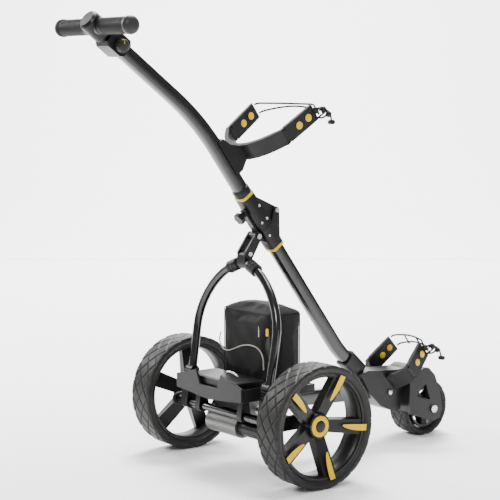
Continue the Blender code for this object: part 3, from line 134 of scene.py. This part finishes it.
def finishes(chosen):
    """Every finish by the name of its slot, with the accent that was chosen."""
    accent = tuple(chosen.accent)
    bright = tuple(min(1.0, 1.1 * c) for c in accent)
    return {
        "black_tube": finish("tube paint", (0.002, 0.002, 0.002), (0.004, 0.004, 0.004), 0.22,
            coat=0.35, scale=35, bump=0.03),
        "black_plastic": finish("satin plastic", (0.004, 0.004, 0.004), (0.008, 0.008, 0.008), 0.36,
            scale=420, bump=0.16),
        "rubber": finish("moulded rubber", (0.006, 0.006, 0.006), (0.012, 0.012, 0.011), 0.52,
            scale=300, bump=0.25),
        "tyre": finish("tyre rubber", (0.008, 0.0075, 0.007), (0.018, 0.017, 0.016), 0.50, scale=120,
            bump=0.3),
        "yellow": finish("yellow plastic", accent, bright, 0.45, coat=0.0, scale=90, bump=0.03),
        "steel": finish("plated steel", (0.50, 0.50, 0.49), (0.62, 0.62, 0.61), 0.26, metal=1.0,
            scale=160, bump=0.05, pattern="brushed"),
        "cast_metal": finish("cast alloy", (0.10, 0.10, 0.10), (0.20, 0.20, 0.19), 0.38, metal=0.85,
            scale=160, bump=0.4),
        "cloth": finish("woven cloth", (0.004, 0.004, 0.004), (0.011, 0.011, 0.011), 0.75, scale=520,
            bump=0.5, pattern="weave"),
        "cord": finish("braided cord", (0.002, 0.002, 0.002), (0.008, 0.008, 0.008), 0.6, scale=600,
            bump=0.2, pattern="weave"),
        "grey_lead": finish("lead sheath", (0.30, 0.29, 0.26), (0.38, 0.37, 0.34), 0.45, scale=80,
            bump=0.05),
        "grey_plastic": finish("grey plastic", (0.016, 0.016, 0.016), (0.030, 0.030, 0.029), 0.38,
            scale=380, bump=0.15),
        # liner: a dark grey that paints light onto the left rim's inner ring; the same ring on the right wheel
        # stays black plastic
        "liner": finish("liner painted lit", (0.03, 0.03, 0.03), (0.05, 0.05, 0.05), 0.5, scale=200,
            bump=0.1),
    }


# ---------------------------------------------------------------- shapes
def piece(name, verts, faces, slot, body, bevel=0.0):
    """A mesh piece in the row frame that rides on a body and takes a slot's finish."""
    mesh = bpy.data.meshes.new(name)
    mesh.from_pydata([tuple(v) for v in verts], [], faces)
    mesh.validate()
    work = bmesh.new()
    work.from_mesh(mesh)
    bmesh.ops.recalc_face_normals(work, faces=work.faces)
    work.to_mesh(mesh)
    work.free()
    mesh.materials.append(finishes_by_slot[slot])
    obj = bpy.data.objects.new(name, mesh)
    bpy.context.scene.collection.objects.link(obj)
    smooth(obj, bevel)
    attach(obj, body)
    return obj


def smooth(obj, bevel):
    """Smooth shading with softened edges."""
    for face in obj.data.polygons:
        face.use_smooth = True
    if bevel:
        soft = obj.modifiers.new("soft edges", "BEVEL")
        soft.width, soft.segments = bevel, 2
        soft.limit_method, soft.angle_limit = "ANGLE", SHARP
        soft.harden_normals = True


def lathe(name, profile, place, slot, body, count=64, bevel=0.0):
    """Turns (radius, height) pairs round the place's Z, with a flat cap at each end."""
    verts, faces = [], []
    for r, z in profile:
        for k in range(count):
            a = 2 * math.pi * k / count
            verts.append(place @ Vector((r * math.cos(a), r * math.sin(a), z)))
    for i in range(len(profile) - 1):
        for k in range(count):
            n = (k + 1) % count
            faces.append((i * count + k, i * count + n, (i + 1) * count + n, (i + 1) * count + k))
    faces.append(tuple(range(count))[::-1])
    faces.append(tuple(range((len(profile) - 1) * count, len(profile) * count)))
    return piece(name, verts, faces, slot, body, bevel)


def slab(name, outline, low, high, place, slot, body, bevel=0.0008):
    """A flat plate of an (X, Y) outline between two heights of the place."""
    n = len(outline)
    verts = [place @ Vector((x, y, low)) for x, y in outline] + [place @ Vector((x, y, high)) for x,
        y in outline]
    faces = [tuple(range(n))[::-1], tuple(range(n, 2 * n))]
    faces += [(k, (k + 1) % n, n + (k + 1) % n, n + k) for k in range(n)]
    return piece(name, verts, faces, slot, body, bevel)


def line(name, points, radius, slot, body, cyclic=False):
    """A round cord or wire through points in the row frame."""
    curve = bpy.data.curves.new(name, "CURVE")
    curve.dimensions, curve.bevel_depth, curve.bevel_resolution = "3D", radius, 4
    curve.use_fill_caps = True
    spline = curve.splines.new("NURBS")
    spline.points.add(len(points) - 1)
    for spot, p in zip(spline.points, points):
        spot.co = (*p, 1)
    spline.use_endpoint_u, spline.use_cyclic_u, spline.order_u, spline.resolution_u = not cyclic, cyclic, 3, 8
    curve.materials.append(finishes_by_slot[slot])
    obj = bpy.data.objects.new(name, curve)
    bpy.context.scene.collection.objects.link(obj)
    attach(obj, body)
    return obj


def facing(at, direction, up=Vector((0, 0, 1))):
    """A place whose Z runs along the direction."""
    z = Vector(direction).normalized()
    x = up.cross(z)
    x = x.normalized() if x.length > 1e-6 else Vector((1, 0, 0))
    y = z.cross(x)
    return Matrix(((x.x, y.x, z.x, at[0]), (x.y, y.y, z.y, at[1]), (x.z, y.z, z.z, at[2]), (0, 0, 0,
        1)))


def screw(name, at, direction, radius, slot="steel", body="lower_frame", height=0.0016):
    """A domed screw head with a socket."""
    profile = [(radius, 0), (radius, height * 0.6), (radius * 0.8, height), (radius * 0.45, height),
               (radius * 0.42, height * 0.35), (radius * 0.05, height * 0.35)]
    return lathe(name, profile, facing(at, direction), slot, body, 24)


# ---------------------------------------------------------------- CAD nodes' finishes
def dress_nodes():
    """Softened edges and procedural finishes on the CAD nodes."""
    slots = {s["node"]: s["material_slot"] for s in frame["record"]["subparts"]}
    special = {"speed_knob": "grey_plastic"}
    for name, obj in frame["nodes"].items():
        obj.data.materials.clear()
        obj.data.materials.append(finishes_by_slot[special.get(name, slots[name])])
        if "custom_normal" in obj.data.attributes:
            obj.data.attributes.remove(obj.data.attributes["custom_normal"])
        weld = obj.modifiers.new("weld", "WELD")
        weld.merge_threshold = 1e-5
        smooth(obj, 0.0012 if slots[name] == "black_plastic" else 0.0005)


# ---------------------------------------------------------------- wheels
def tyre(name, node, body, centre_y, centre_z, radius, pitches, groove):
    """A tyre whose tread is cut by two sets of slanting grooves that cross."""
    low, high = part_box(node)
    middle, half = (low.x + high.x) / 2, (high.x - low.x) / 2
    wall = radius * (0.14 if radius > 0.1 else 0.2)
    edge = [(-0.80, wall), (-0.92, wall * 0.72), (-0.975, wall * 0.5), (-1.0, wall * 0.28), (-0.975,
        wall * 0.12), (-0.94, wall * 0.04)]
    tread = [(-0.90 + 1.8 * k / 40, 0.0) for k in range(41)]
    profile = edge + tread + [(-x, drop) for x, drop in edge[::-1]]
    count, rows = len(profile), pitches * PITCH_ROWS
    verts, faces = [], []
    for k in range(rows):
        turn = k / PITCH_ROWS
        for j, (share, drop) in enumerate(profile):
            depth = 0.0
            if 4 <= j < count - 4:
                for slant in (1.15, -1.15):
                    off = turn + slant * share
                    off = abs(off - round(off))
                    depth = max(depth, min(max((0.075 - off) / 0.035, 0.0), 1.0))
                depth = max(depth, 0.7 * max(0.0, 1 - abs(abs(share) - 0.86) / 0.03))
            r = radius - drop - groove * depth - 0.0006 * share * share
            angle = 2 * math.pi * turn / pitches
            verts.append((middle + half * share, centre_y + r * math.cos(angle),
                centre_z + r * math.sin(angle)))
    for k in range(rows):
        n = (k + 1) % rows
        for j in range(count):
            m = (j + 1) % count
            faces.append((k * count + j, k * count + m, n * count + m, n * count + j))
    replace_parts(piece(name, verts, faces, "tyre", body), node)


def inlay(name, side, angle, body="drive"):
    """A coloured blade let into a spoke's face: square outside, tapering to a point inside."""
    blade = [(0.1275, 0.0075), (0.1275, -0.0075), (0.112, -0.0082), (0.096, -0.0074), (0.082, -0.0052),
             (0.070, -0.0020), (0.0640, 0.0012), (0.0625, 0.0035), (0.0660, 0.0052), (0.086,
                 0.0064), (0.108, 0.0070)]
    verts, n = [], len(blade)
    for lift in (0.0, 0.0016):
        for r, w in blade:
            w = w if side > 0 else -w
            x = 0.2838 + (r - 0.0625) / 0.065 * 0.0115 + lift - 0.0004
            verts.append((side * x, r * math.cos(angle) - w * math.sin(angle),
                          REAR_R + r * math.sin(angle) + w * math.cos(angle)))
    faces = [tuple(range(n)), tuple(range(n, 2 * n))[::-1]]
    faces += [(k, (k + 1) % n, n + (k + 1) % n, n + k) for k in range(n)]
    piece(name, verts, faces, "yellow", body, 0.0004)


def hub_trim(side, word):
    """A plain ringed disc over the hub."""
    low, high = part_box("hub_cap_" + word)
    face = high.x if side > 0 else low.x
    base = facing((face - side * 0.0030, 0, REAR_R), (side, 0, 0))
    lathe("hub_surround_" + word, [(0.0300, -0.006), (0.0300, 0.0006), (0.0282, 0.0022), (0.0262,
        0.0022), (0.0255, 0)],
          base, "black_plastic", "drive", 64)
    cap = lathe("hub_ring_" + word, [(0.0252, -0.002), (0.0252, 0.0026), (0.0238, 0.0036), (0.0160,
        0.0040), (0.0150, 0.0032), (0.002, 0.0030)],
                base, "yellow", "drive", 64)
    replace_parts(cap, "hub_cap_" + word)
    lathe("hub_disc_" + word, [(0.0140, 0.0024), (0.0140, 0.0038), (0.0125, 0.0046), (0.004, 0.0052),
        (0.0006, 0.0052)],
          base, "black_plastic", "drive", 48)


def liner(side, word):
    """A ring inside each rear rim; the left one is painted lighter grey as painted light on its lit inner face,
    the right one stays black plastic.
    """
    low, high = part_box("rear_rim_" + word)
    r = LINER_R
    place = facing(((low.x + high.x) / 2, 0, REAR_R), (1, 0, 0))
    half = (high.x - low.x) / 2 - 0.003
    verts, faces, count = [], [], 96
    for rr, z in ((r, -half), (r, half), (r - 0.0012, half), (r - 0.0022, 0), (r - 0.0012, -half)):
        for k in range(count):
            a = 2 * math.pi * k / count
            verts.append(place @ Vector((rr * math.cos(a), rr * math.sin(a), z)))
    for i in range(5):
        for k in range(count):
            n, m = (k + 1) % count, (i + 1) % 5
            faces.append((i * count + k, i * count + n, m * count + n, m * count + k))
    # painted light: only the left ring takes the lighter liner finish, the right ring keeps black plastic
    piece("rim_liner_" + word, verts, faces, "liner" if side < 0 else "black_plastic", "drive")


def build_wheels(groove):
    """Tyres, spoke inlays, hub trim and rim liners."""
    for side, word, start in ((1, "right", RIGHT_SPOKE), (-1, "left", LEFT_SPOKE)):
        tyre("tread_" + word, "rear_tyre_" + word, "drive", 0.0, REAR_R, REAR_R, REAR_PITCHES, groove)
        for k in range(SPOKES):
            inlay("spoke_inlay_%s_%d" % (word, k + 1), side, start + 2 * math.pi * k / SPOKES)
        hub_trim(side, word)
        liner(side, word)
    y, z = wheel_centre("front_tyre")
    tyre("tread_front", "front_tyre", "front_wheel", y, z, FRONT_R, FRONT_PITCHES, groove * 0.9)


def wheel_centre(node):
    """The (Y, Z) middle of a node."""
    low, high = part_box(node)
    return (low.y + high.y) / 2, (low.z + high.z) / 2


# ---------------------------------------------------------------- cradles
def build_pads():
    """Coloured studs on both faces of the four pads."""
    spots = {j["child"]: Vector(j["pos_m"]) for j in frame["joints"] if "pos_m" in j}
    for level, tilt, lean, outs, radius in (("upper", UPPER_TILT, 0.10, (0.0415, 0.0725), 0.0092),
                                            ("lower", LOWER_TILT, -0.17, (0.036, 0.064), 0.0088)):
        for side, word in SIDES:
            body = "%s_%s_pad" % (level, word)
            place = Matrix.Translation(spots[body]) @ Matrix.Rotation(tilt, 4, "X")
            across = Vector((side, -lean, 0)).normalized()
            for face in (1, -1):
                normal = place.to_3x3() @ (across * face)
                for k, out in enumerate(outs):
                    at = place @ Vector((side * (lean * out + face * 0.0050), out, 0))
                    base = facing(at - normal * 0.0012, normal)
                    name = "%s_%s_stud_%d_%s" % (level, word, k + 1, "out" if face > 0 else "in")
                    lathe(name + "_seat", [(radius + 0.0022, 0), (radius + 0.0022, 0.0017),
                        (radius + 0.0012, 0.0022), (radius * 0.5, 0.0022)],
                          base, "rubber", body, 40)
                    lathe(name, [(radius, 0), (radius, 0.0026), (radius * 0.8, 0.0036), (radius * 0.4,
                        0.0041), (0.0003, 0.0042)],
                          base, "yellow", body, 40)


def build_bungees():
    """Loose loops and toggles where each elastic cord ends at its right pad."""
    spots = {j["child"]: Vector(j["pos_m"]) for j in frame["joints"] if "pos_m" in j}
    for level, tilt, lean, out in (("upper", UPPER_TILT, 0.10, 0.097), ("lower", LOWER_TILT, -0.17,
        0.084)):
        body = level + "_right_pad"
        place = Matrix.Translation(spots[body]) @ Matrix.Rotation(tilt, 4,
            "X") @ Matrix.Translation((lean * out + 0.003, out - 0.004, -0.006))
        drop = 1.0 if level == "lower" else 0.45
        loops = [[(-0.002, -0.004, 0.012), (0.010, 0.006, 0.016), (0.020, 0.014, 0.010), (0.020, 0.016,
            -0.002), (0.010, 0.008, -0.008), (-0.001, -0.002, -0.010)],
                 [(0.004, 0.000, 0.010), (0.016, 0.016, 0.014), (0.026, 0.020, 0.002), (0.022, 0.014,
                     -0.012), (0.010, 0.004, -0.014), (0.003, -0.002, -0.006)],
                 [(0.012, 0.008, 0.008), (0.024, 0.020, 0.002), (0.030, 0.022, -0.012), (0.026, 0.014,
                     -0.026 - 0.012 * drop)]]
        for k, loop in enumerate(loops):
            line("%s_loop_%d" % (level, k + 1), [place @ Vector(p) for p in loop], 0.0023, "cord", body)
        for k, (spot, r, length) in enumerate((((0.005, 0.004, 0.010), 0.0058, 0.017), ((0.018, 0.016,
            0.003), 0.0062, 0.018),
                                               ((0.026, 0.018, -0.012), 0.0056, 0.017), ((0.026, 0.014,
                                                   -0.026 - 0.012 * drop), 0.0062, 0.020))):
            base = place @ Matrix.Translation(spot) @ Matrix.Rotation(0.5 * k, 4, "Y")
            lathe("%s_toggle_%d" % (level, k + 1), [(r * 0.3, -length / 2), (r * 0.85, -length * 0.42),
                (r, -length * 0.2), (r * 0.8, 0), (r, length * 0.2), (r * 0.85,
                    length * 0.42), (r * 0.3, length / 2)],
                  base, "black_plastic", body, 24)
    low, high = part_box("lower_bungee")
    middle = (low + high) / 2
    for k, x in enumerate((-0.022, 0.022)):
        place = Matrix.Translation((middle.x + x - 0.004, high.y - 0.016,
            high.z - 0.018)) @ Matrix.Rotation(LOWER_TILT, 4, "X")
        line("cross_link_%d" % (k + 1), [place @ Vector(p) for p in ((0, 0.001, 0.014), (0, 0, 0), (0,
            -0.001, -0.014))], 0.0021, "cord", "lower_frame")


# ---------------------------------------------------------------- handle and hinge
def build_handle(ribs):
    """Grip ribs, end caps and the speed knob's face."""
    low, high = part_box("handle_bar")
    y, z = (low.y + high.y) / 2, (low.z + high.z) / 2
    for side, word in reversed(SIDES):
        for k in range(ribs):
            x = side * (0.040 + 0.086 * k / (ribs - 1))
            lathe("grip_rib_%s_%d" % (word, k + 1), [(0.0180, -0.0013), (0.0192, -0.0009), (0.0192,
                0.0009), (0.0180, 0.0013)],
                  facing((x, y, z), (1, 0, 0)), "rubber", "upper_frame", 40)
        end = side * 0.1375
        lathe("grip_cap_" + word, [(0.0206, -0.001), (0.0208, 0.003), (0.0200, 0.0085), (0.0165,
            0.0125), (0.0095, 0.0152), (0.0010, 0.0160)],
              facing((end, y, z), (side, 0,
                  0)), "grey_plastic" if side > 0 else "rubber", "upper_frame", 48)
    low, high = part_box("speed_knob")
    centre = Vector((high.x, (low.y + high.y) / 2, (low.z + high.z) / 2))
    lathe("knob_face", [(0.0140, -0.001), (0.0140, 0.0008), (0.0120, 0.0020), (0.0020, 0.0024)],
        facing(centre, (1, 0, 0)), "grey_plastic", "speed_dial", 40)
    slab("knob_mark", [(-0.0008, 0.004), (0.0008, 0.004), (0.0008, 0.012), (-0.0008, 0.012)], 0.0014,
        0.0026, facing(centre, (1, 0, 0)), "yellow", "speed_dial", 0.0002)


def build_hinge():
    """Collar above the upper ring, and screws in the shells' sides."""
    low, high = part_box("hinge_ring_upper")
    middle = (low + high) / 2
    place = Matrix.Translation(middle) @ Matrix.Rotation(TILT, 4, "X")
    lathe("upper_collar", [(0.0215, 0.0042), (0.0222, 0.006), (0.0218, 0.020), (0.0190, 0.0235)],
        place, "black_plastic", "upper_frame", 48)
    for node, body in (("hinge_shell_upper", "upper_frame"), ("hinge_shell_lower", "lower_frame")):
        low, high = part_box(node)
        middle = (low + high) / 2
        frame_here = Matrix.Translation(middle) @ Matrix.Rotation(TILT, 4, "X")
        for side in (1, -1):
            for k, along in enumerate((0.020, -0.020)):
                at = frame_here @ Vector((0, 0, along))
                screw("%s_screw_%d_%s" % (node, k, "right" if side > 0 else "left"),
                    (side * (high.x - 0.0004), at.y, at.z), (side, 0, 0), 0.0034, body=body)


# ---------------------------------------------------------------- battery bag and chassis
def build_bag(turns):
    """The bag's cloth, blown out slightly over its pack, with seams, a lid edge and a small tag."""
    low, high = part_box("battery_bag")
    size, middle = high - low, (high + low) / 2
    mesh = bpy.data.meshes.new("bag_cloth")
    work = bmesh.new()
    bmesh.ops.create_cube(work, size=1.0)
    bmesh.ops.scale(work, vec=(size.x - 0.010, size.y - 0.010, size.z - 0.006), verts=work.verts)
    bmesh.ops.bevel(work, geom=work.edges, offset=0.014, segments=4, affect="EDGES", profile=0.5)
    bmesh.ops.translate(work, vec=(middle.x, middle.y, middle.z - 0.001), verts=work.verts)
    work.to_mesh(mesh)
    work.free()
    mesh.materials.append(finishes_by_slot["cloth"])
    bag = bpy.data.objects.new("bag_cloth", mesh)
    bpy.context.scene.collection.objects.link(bag)
    remesh = bag.modifiers.new("remesh", "REMESH")
    remesh.mode, remesh.voxel_size = "VOXEL", 0.005
    apply_all(bag)
    if turns:
        start = [v.co.copy() for v in bag.data.vertices]
        pins = bag.vertex_groups.new(name="base")
        pins.add([v.index for v in bag.data.vertices if v.co.z < low.z + 0.02], 1.0, "REPLACE")
        cloth = bag.modifiers.new("cloth", "CLOTH")
        cloth.settings.use_pressure, cloth.settings.uniform_pressure_force = True, 4.0
        cloth.settings.vertex_group_mass = "base"
        cloth.settings.effector_weights.gravity = 0.0
        cloth.settings.shrink_min = -0.03
        cloth.point_cache.frame_start, cloth.point_cache.frame_end = 1, turns
        for number in range(1, turns + 1):
            bpy.context.scene.frame_set(number)
        apply_all(bag)
        for v, before in zip(bag.data.vertices, start):
            move = v.co - before
            if move.length > 0.006:
                move *= 0.006 / move.length
            v.co = before + move
    finer = bag.modifiers.new("finer", "SUBSURF")
    finer.levels = finer.render_levels = 1
    apply_all(bag)
    for v in bag.data.vertices:
        across = (v.co.x - middle.x) / (size.x / 2)
        deep = (v.co.y - middle.y) / (size.y / 2)
        if v.co.z > high.z - 0.03:
            v.co.z += 0.009 * max(0, 1 - across * across) * max(0,
                1 - deep * deep) ** 0.5 * (v.co.z - high.z + 0.03) / 0.03
        wave = math.sin(v.co.z * 70 + 3 * across) * math.cos(across * 7 + v.co.z * 25)
        v.co.y += 0.0016 * wave * (1 if deep > 0 else -1) * (1 - abs(across) ** 4)
    smooth(bag, 0.0)
    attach(bag, "battery")
    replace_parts(bag, "battery_bag")
    # seams: piping round the top and down the rear corners, and a lid's lower edge
    inset = 0.006
    xs, ys = size.x / 2 - inset, size.y / 2 - inset
    for name, z in (("top_piping", high.z - 0.008), ("lid_edge", high.z - 0.040)):
        ring = []
        for k in range(48):
            a = 2 * math.pi * k / 48
            c, s = math.cos(a), math.sin(a)
            scale = 1 / (abs(c) ** 12 + abs(s) ** 12) ** (1 / 12)
            ring.append(Vector((middle.x + (xs + 0.001) * c * scale,
                middle.y + (ys + 0.001) * s * scale, z)))
        line(name, ring, 0.0016, "cloth", "battery", True)
    for sx in (-1, 1):
        for sy in (-1, 1):
            x, y = middle.x + sx * (xs - 0.0026), middle.y + sy * (ys - 0.0026)
            line("corner_piping_%d_%d" % (sx > 0, sy > 0), [(x, y, low.z + 0.004), (x, y, middle.z),
                (x, y, high.z - 0.010)], 0.0015, "cloth", "battery")
    place = facing((high.x - 0.014, low.y + 0.0035, high.z - 0.050), (0, -1, 0))
    slab("bag_tag", [(-0.004, -0.009), (0.004, -0.009), (0.004, 0.007), (0, 0.010), (-0.004, 0.007)],
        0, 0.0030, place, "yellow", "battery", 0.0004)
    x = middle.x + 0.058
    line("zip_pull", [(x, low.y - 0.001, high.z - 0.036), (x + 0.002, low.y - 0.002, high.z - 0.050),
        (x, low.y - 0.001, high.z - 0.064)], 0.0012, "steel", "battery")


def apply_all(obj):
    """Turns an object's modifiers into plain mesh."""
    graph = bpy.context.evaluated_depsgraph_get()
    fresh = bpy.data.meshes.new_from_object(obj.evaluated_get(graph))
    obj.modifiers.clear()
    obj.data = fresh


def build_chassis():
    """Gearbox screws, hook bar, bolt faces and washers, and ribs on the arch's feet."""
    low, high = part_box("gearbox_half_right")
    for k, (y, z) in enumerate(((0.2, 0.25), (0.2, 0.8), (0.5, 0.12), (0.8, 0.3), (0.8, 0.75), (0.5,
        0.9))):
        screw("gearbox_screw_%d" % (k + 1), (high.x - 0.0004, low.y + (high.y - low.y) * y,
            low.z + (high.z - low.z) * z), (1, 0, 0), 0.0036)
    low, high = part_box("battery_tray")
    back = low.y
    line("hook_bar", [(0.050, back + 0.020, high.z + 0.001), (0.056, back + 0.014, high.z + 0.008),
        (0.072, back + 0.012, high.z + 0.010), (0.088, back + 0.014, high.z + 0.008), (0.094,
            back + 0.020, high.z + 0.001)], 0.0022, "steel", "lower_frame")
    for side, word in SIDES:
        low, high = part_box("front_axle")
        base = facing((side * (high.x - 0.0006), (low.y + high.y) / 2, (low.z + high.z) / 2), (side, 0,
            0))
        lathe("axle_washer_" + word, [(0.0105, -0.002), (0.0105, 0.0006), (0.0088, 0.0012), (0.0076,
            0.0012), (0.0074, 0.0004)], base, "steel", "lower_frame", 36)
        low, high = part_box("beam_pivot_bolt")
        base = facing((side * (high.x - 0.0006), (low.y + high.y) / 2, (low.z + high.z) / 2), (side, 0,
            0))
        lathe("bolt_face_" + word, [(0.0075, -0.001), (0.0075, 0.0008), (0.0064, 0.0018), (0.0010,
            0.0022)], base, "steel", "lower_frame", 32)
    for word in ("left", "right"):
        low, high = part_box("leg_foot_" + word)
        top = high.z
        middle = (low + high) / 2
        for k in range(4):
            lathe("foot_rib_%s_%d" % (word, k + 1), [(0.0118, -0.0016), (0.0132, -0.0010), (0.0132,
                0.0010), (0.0118, 0.0016)],
                  Matrix.Translation((middle.x, middle.y,
                      top - 0.012 - 0.007 * k)), "black_plastic", "arch", 32)


# ---------------------------------------------------------------- stage
def backdrop():
    """A wide pale screen behind the trolley, sweeping up from the floor."""
    away = Vector((-math.sin(AZIMUTH), math.cos(AZIMUTH), 0))
    across = Vector((away.y, -away.x, 0))
    verts, faces = [], []
    bend = [(4.4 + 3.6 * math.sin(k * math.pi / 48),
        3.6 - 3.6 * math.cos(k * math.pi / 48)) for k in range(25)] + [(8.0, 10.0)]
    for out, up in bend:
        for side in (-14, 14):
            verts.append(away * out + across * side + Vector((0, 0, up + 0.0004)))
    for k in range(len(bend) - 1):
        faces.append((2 * k, 2 * k + 1, 2 * k + 3, 2 * k + 2))
    mesh = bpy.data.meshes.new("backdrop")
    mesh.from_pydata(verts, [], faces)
    mat = finish("lit screen", (0.96, 0.96, 0.96), (1.0, 1.0, 1.0), 0.9, scale=2, bump=0.0)
    mesh.materials.append(mat)
    for face in mesh.polygons:
        face.use_smooth = True
    obj = bpy.data.objects.new("backdrop", mesh)
    bpy.context.scene.collection.objects.link(obj)
    return obj


def build_stage():
    """Pale floor and screen, soft lights and the camera."""
    scene = bpy.context.scene
    world = scene.world or bpy.data.worlds.new("pale world")
    scene.world = world
    world.use_nodes = True
    world.node_tree.nodes["Background"].inputs["Color"].default_value = (1.0, 1.0, 1.0, 1)
    world.node_tree.nodes["Background"].inputs["Strength"].default_value = 0.36
    mesh = bpy.data.meshes.new("floor")
    wide = 30.0
    mesh.from_pydata([(-wide, -wide, -0.0006), (wide, -wide, -0.0006), (wide, wide, -0.0006), (-wide,
        wide, -0.0006)], [], [(0, 1, 2, 3)])
    floor = bpy.data.objects.new("floor", mesh)
    mesh.materials.append(finish("pale floor", (0.97, 0.97, 0.97), (1.0, 1.0, 1.0), 0.9, scale=3,
        bump=0.0))
    scene.collection.objects.link(floor)
    pieces = [floor, backdrop()]
    for name, at, power, size, target in (
            ("key light", (2.6, -2.4, 3.0), 105, 1.3, (0, 0.1, 0.5)),
            ("side light", (-2.8, -1.2, 2.0), 90, 1.2, (0, 0.1, 0.5)),
            ("top light", (0.3, 0.6, 3.4), 90, 1.6, (0, 0.1, 0.4)),
            ("low light", (3.2, 0.2, 0.5), 10, 1.0, (0, 0.1, 0.3)),
            ("screen light", (-3.0, 2.2, 6.5), 1500, 3.0, (-5.8, 4.5, 1.2)),
            ("floor light", (-2.6, 2.2, 4.6), 330, 3.0, (-2.6, 2.1, 0.0))):
        data = bpy.data.lights.new(name, "AREA")
        data.energy, data.size = power, size
        lamp = bpy.data.objects.new(name, data)
        lamp.location = at
        lamp.rotation_mode = "QUATERNION"
        lamp.rotation_quaternion = (Vector(at) - Vector(target)).to_track_quat("Z", "Y")
        scene.collection.objects.link(lamp)
        pieces.append(lamp)
    azimuth, elevation = AZIMUTH, ELEVATION
    back = Vector((math.sin(azimuth) * math.cos(elevation), -math.cos(azimuth) * math.cos(elevation),
        math.sin(elevation)))
    data = bpy.data.cameras.new("view")
    data.lens, data.sensor_width = 111.62, 36.0
    camera = bpy.data.objects.new("view", data)
    camera.location = (2.974, -2.2856, 0.9471)
    camera.rotation_mode = "QUATERNION"
    camera.rotation_quaternion = back.to_track_quat("Z", "Y")
    scene.collection.objects.link(camera)
    scene.camera = camera


# ---------------------------------------------------------------- add-on
class TrolleySettings(bpy.types.PropertyGroup):
    """What can be set before the looks are built."""
    accent: bpy.props.FloatVectorProperty(
        name="Accent", description="Colour of studs, inlays, collars and hub rings", subtype="COLOR",
        size=3, min=0.0, max=1.0, default=(0.60, 0.38, 0.0))
    groove: bpy.props.FloatProperty(
        name="Tread depth", description="How deep the rear tyres' grooves are", unit="LENGTH",
        min=0.0, max=0.004, default=0.0020)
    grip_ribs: bpy.props.IntProperty(
        name="Grip ribs", description="Ribs along each handle grip", min=2, max=40, default=22)
    cloth_steps: bpy.props.IntProperty(
        name="Cloth steps", description="Steps of the bag's cloth before it is kept", min=0, max=60,
        default=20)


class TROLLEY_OT_stage(bpy.types.Operator):
    """Adds the floor, screen, lights and camera"""
    bl_idname = "trolley.stage"
    bl_label = "Stage"
    bl_options = {"REGISTER", "UNDO"}

    def execute(self, context):
        build_stage()
        return {"FINISHED"}


class TROLLEY_OT_finishes(bpy.types.Operator):
    """Gives the CAD nodes their finishes"""
    bl_idname = "trolley.finishes"
    bl_label = "Finishes"
    bl_options = {"REGISTER", "UNDO"}

    def execute(self, context):
        dress_nodes()
        return {"FINISHED"}


class TROLLEY_OT_wheels(bpy.types.Operator):
    """Adds tyres, spoke inlays, hub discs and rim liners"""
    bl_idname = "trolley.wheels"
    bl_label = "Wheels"
    bl_options = {"REGISTER", "UNDO"}

    def execute(self, context):
        build_wheels(context.scene.trolley.groove)
        return {"FINISHED"}


class TROLLEY_OT_pads(bpy.types.Operator):
    """Adds the studs on the cradle pads"""
    bl_idname = "trolley.pads"
    bl_label = "Pads"
    bl_options = {"REGISTER", "UNDO"}

    def execute(self, context):
        build_pads()
        return {"FINISHED"}


class TROLLEY_OT_bungees(bpy.types.Operator):
    """Adds the loops and toggles of the elastic cords"""
    bl_idname = "trolley.bungees"
    bl_label = "Bungees"
    bl_options = {"REGISTER", "UNDO"}

    def execute(self, context):
        build_bungees()
        return {"FINISHED"}


class TROLLEY_OT_handle(bpy.types.Operator):
    """Adds grip ribs, caps and the speed knob's face"""
    bl_idname = "trolley.handle"
    bl_label = "Handle"
    bl_options = {"REGISTER", "UNDO"}

    def execute(self, context):
        build_handle(context.scene.trolley.grip_ribs)
        return {"FINISHED"}


class TROLLEY_OT_hinge(bpy.types.Operator):
    """Adds the hinge's collar and screws"""
    bl_idname = "trolley.hinge"
    bl_label = "Hinge"
    bl_options = {"REGISTER", "UNDO"}

    def execute(self, context):
        build_hinge()
        return {"FINISHED"}


class TROLLEY_OT_chassis(bpy.types.Operator):
    """Adds bolts, hook bar and foot ribs"""
    bl_idname = "trolley.chassis"
    bl_label = "Chassis"
    bl_options = {"REGISTER", "UNDO"}

    def execute(self, context):
        build_chassis()
        return {"FINISHED"}


class TROLLEY_OT_bag(bpy.types.Operator):
    """Adds the battery bag's cloth, piping and tag"""
    bl_idname = "trolley.bag"
    bl_label = "Bag"
    bl_options = {"REGISTER", "UNDO"}

    def execute(self, context):
        build_bag(context.scene.trolley.cloth_steps)
        return {"FINISHED"}


STEPS = [TROLLEY_OT_stage, TROLLEY_OT_finishes, TROLLEY_OT_wheels, TROLLEY_OT_pads, TROLLEY_OT_bungees,
    TROLLEY_OT_handle, TROLLEY_OT_hinge, TROLLEY_OT_chassis, TROLLEY_OT_bag]


class TROLLEY_PT_panel(bpy.types.Panel):
    """Buttons that build each group."""
    bl_label = "Trolley"
    bl_space_type = "VIEW_3D"
    bl_region_type = "UI"
    bl_category = "Trolley"

    def draw(self, context):
        for name in ("accent", "groove", "grip_ribs", "cloth_steps"):
            self.layout.prop(context.scene.trolley, name)
        for step in STEPS:
            self.layout.operator(step.bl_idname)


def register():
    for cls in [TrolleySettings, TROLLEY_PT_panel] + STEPS:
        bpy.utils.register_class(cls)
    bpy.types.Scene.trolley = bpy.props.PointerProperty(type=TrolleySettings)


def unregister():
    del bpy.types.Scene.trolley
    for cls in reversed([TrolleySettings, TROLLEY_PT_panel] + STEPS):
        bpy.utils.unregister_class(cls)


def main():
    """Builds every group."""
    register()
    finishes_by_slot.update(finishes(bpy.context.scene.trolley))
    for step in STEPS:
        group, name = step.bl_idname.split(".")
        getattr(getattr(bpy.ops, group), name)()


if __name__ == "__main__":
    main()
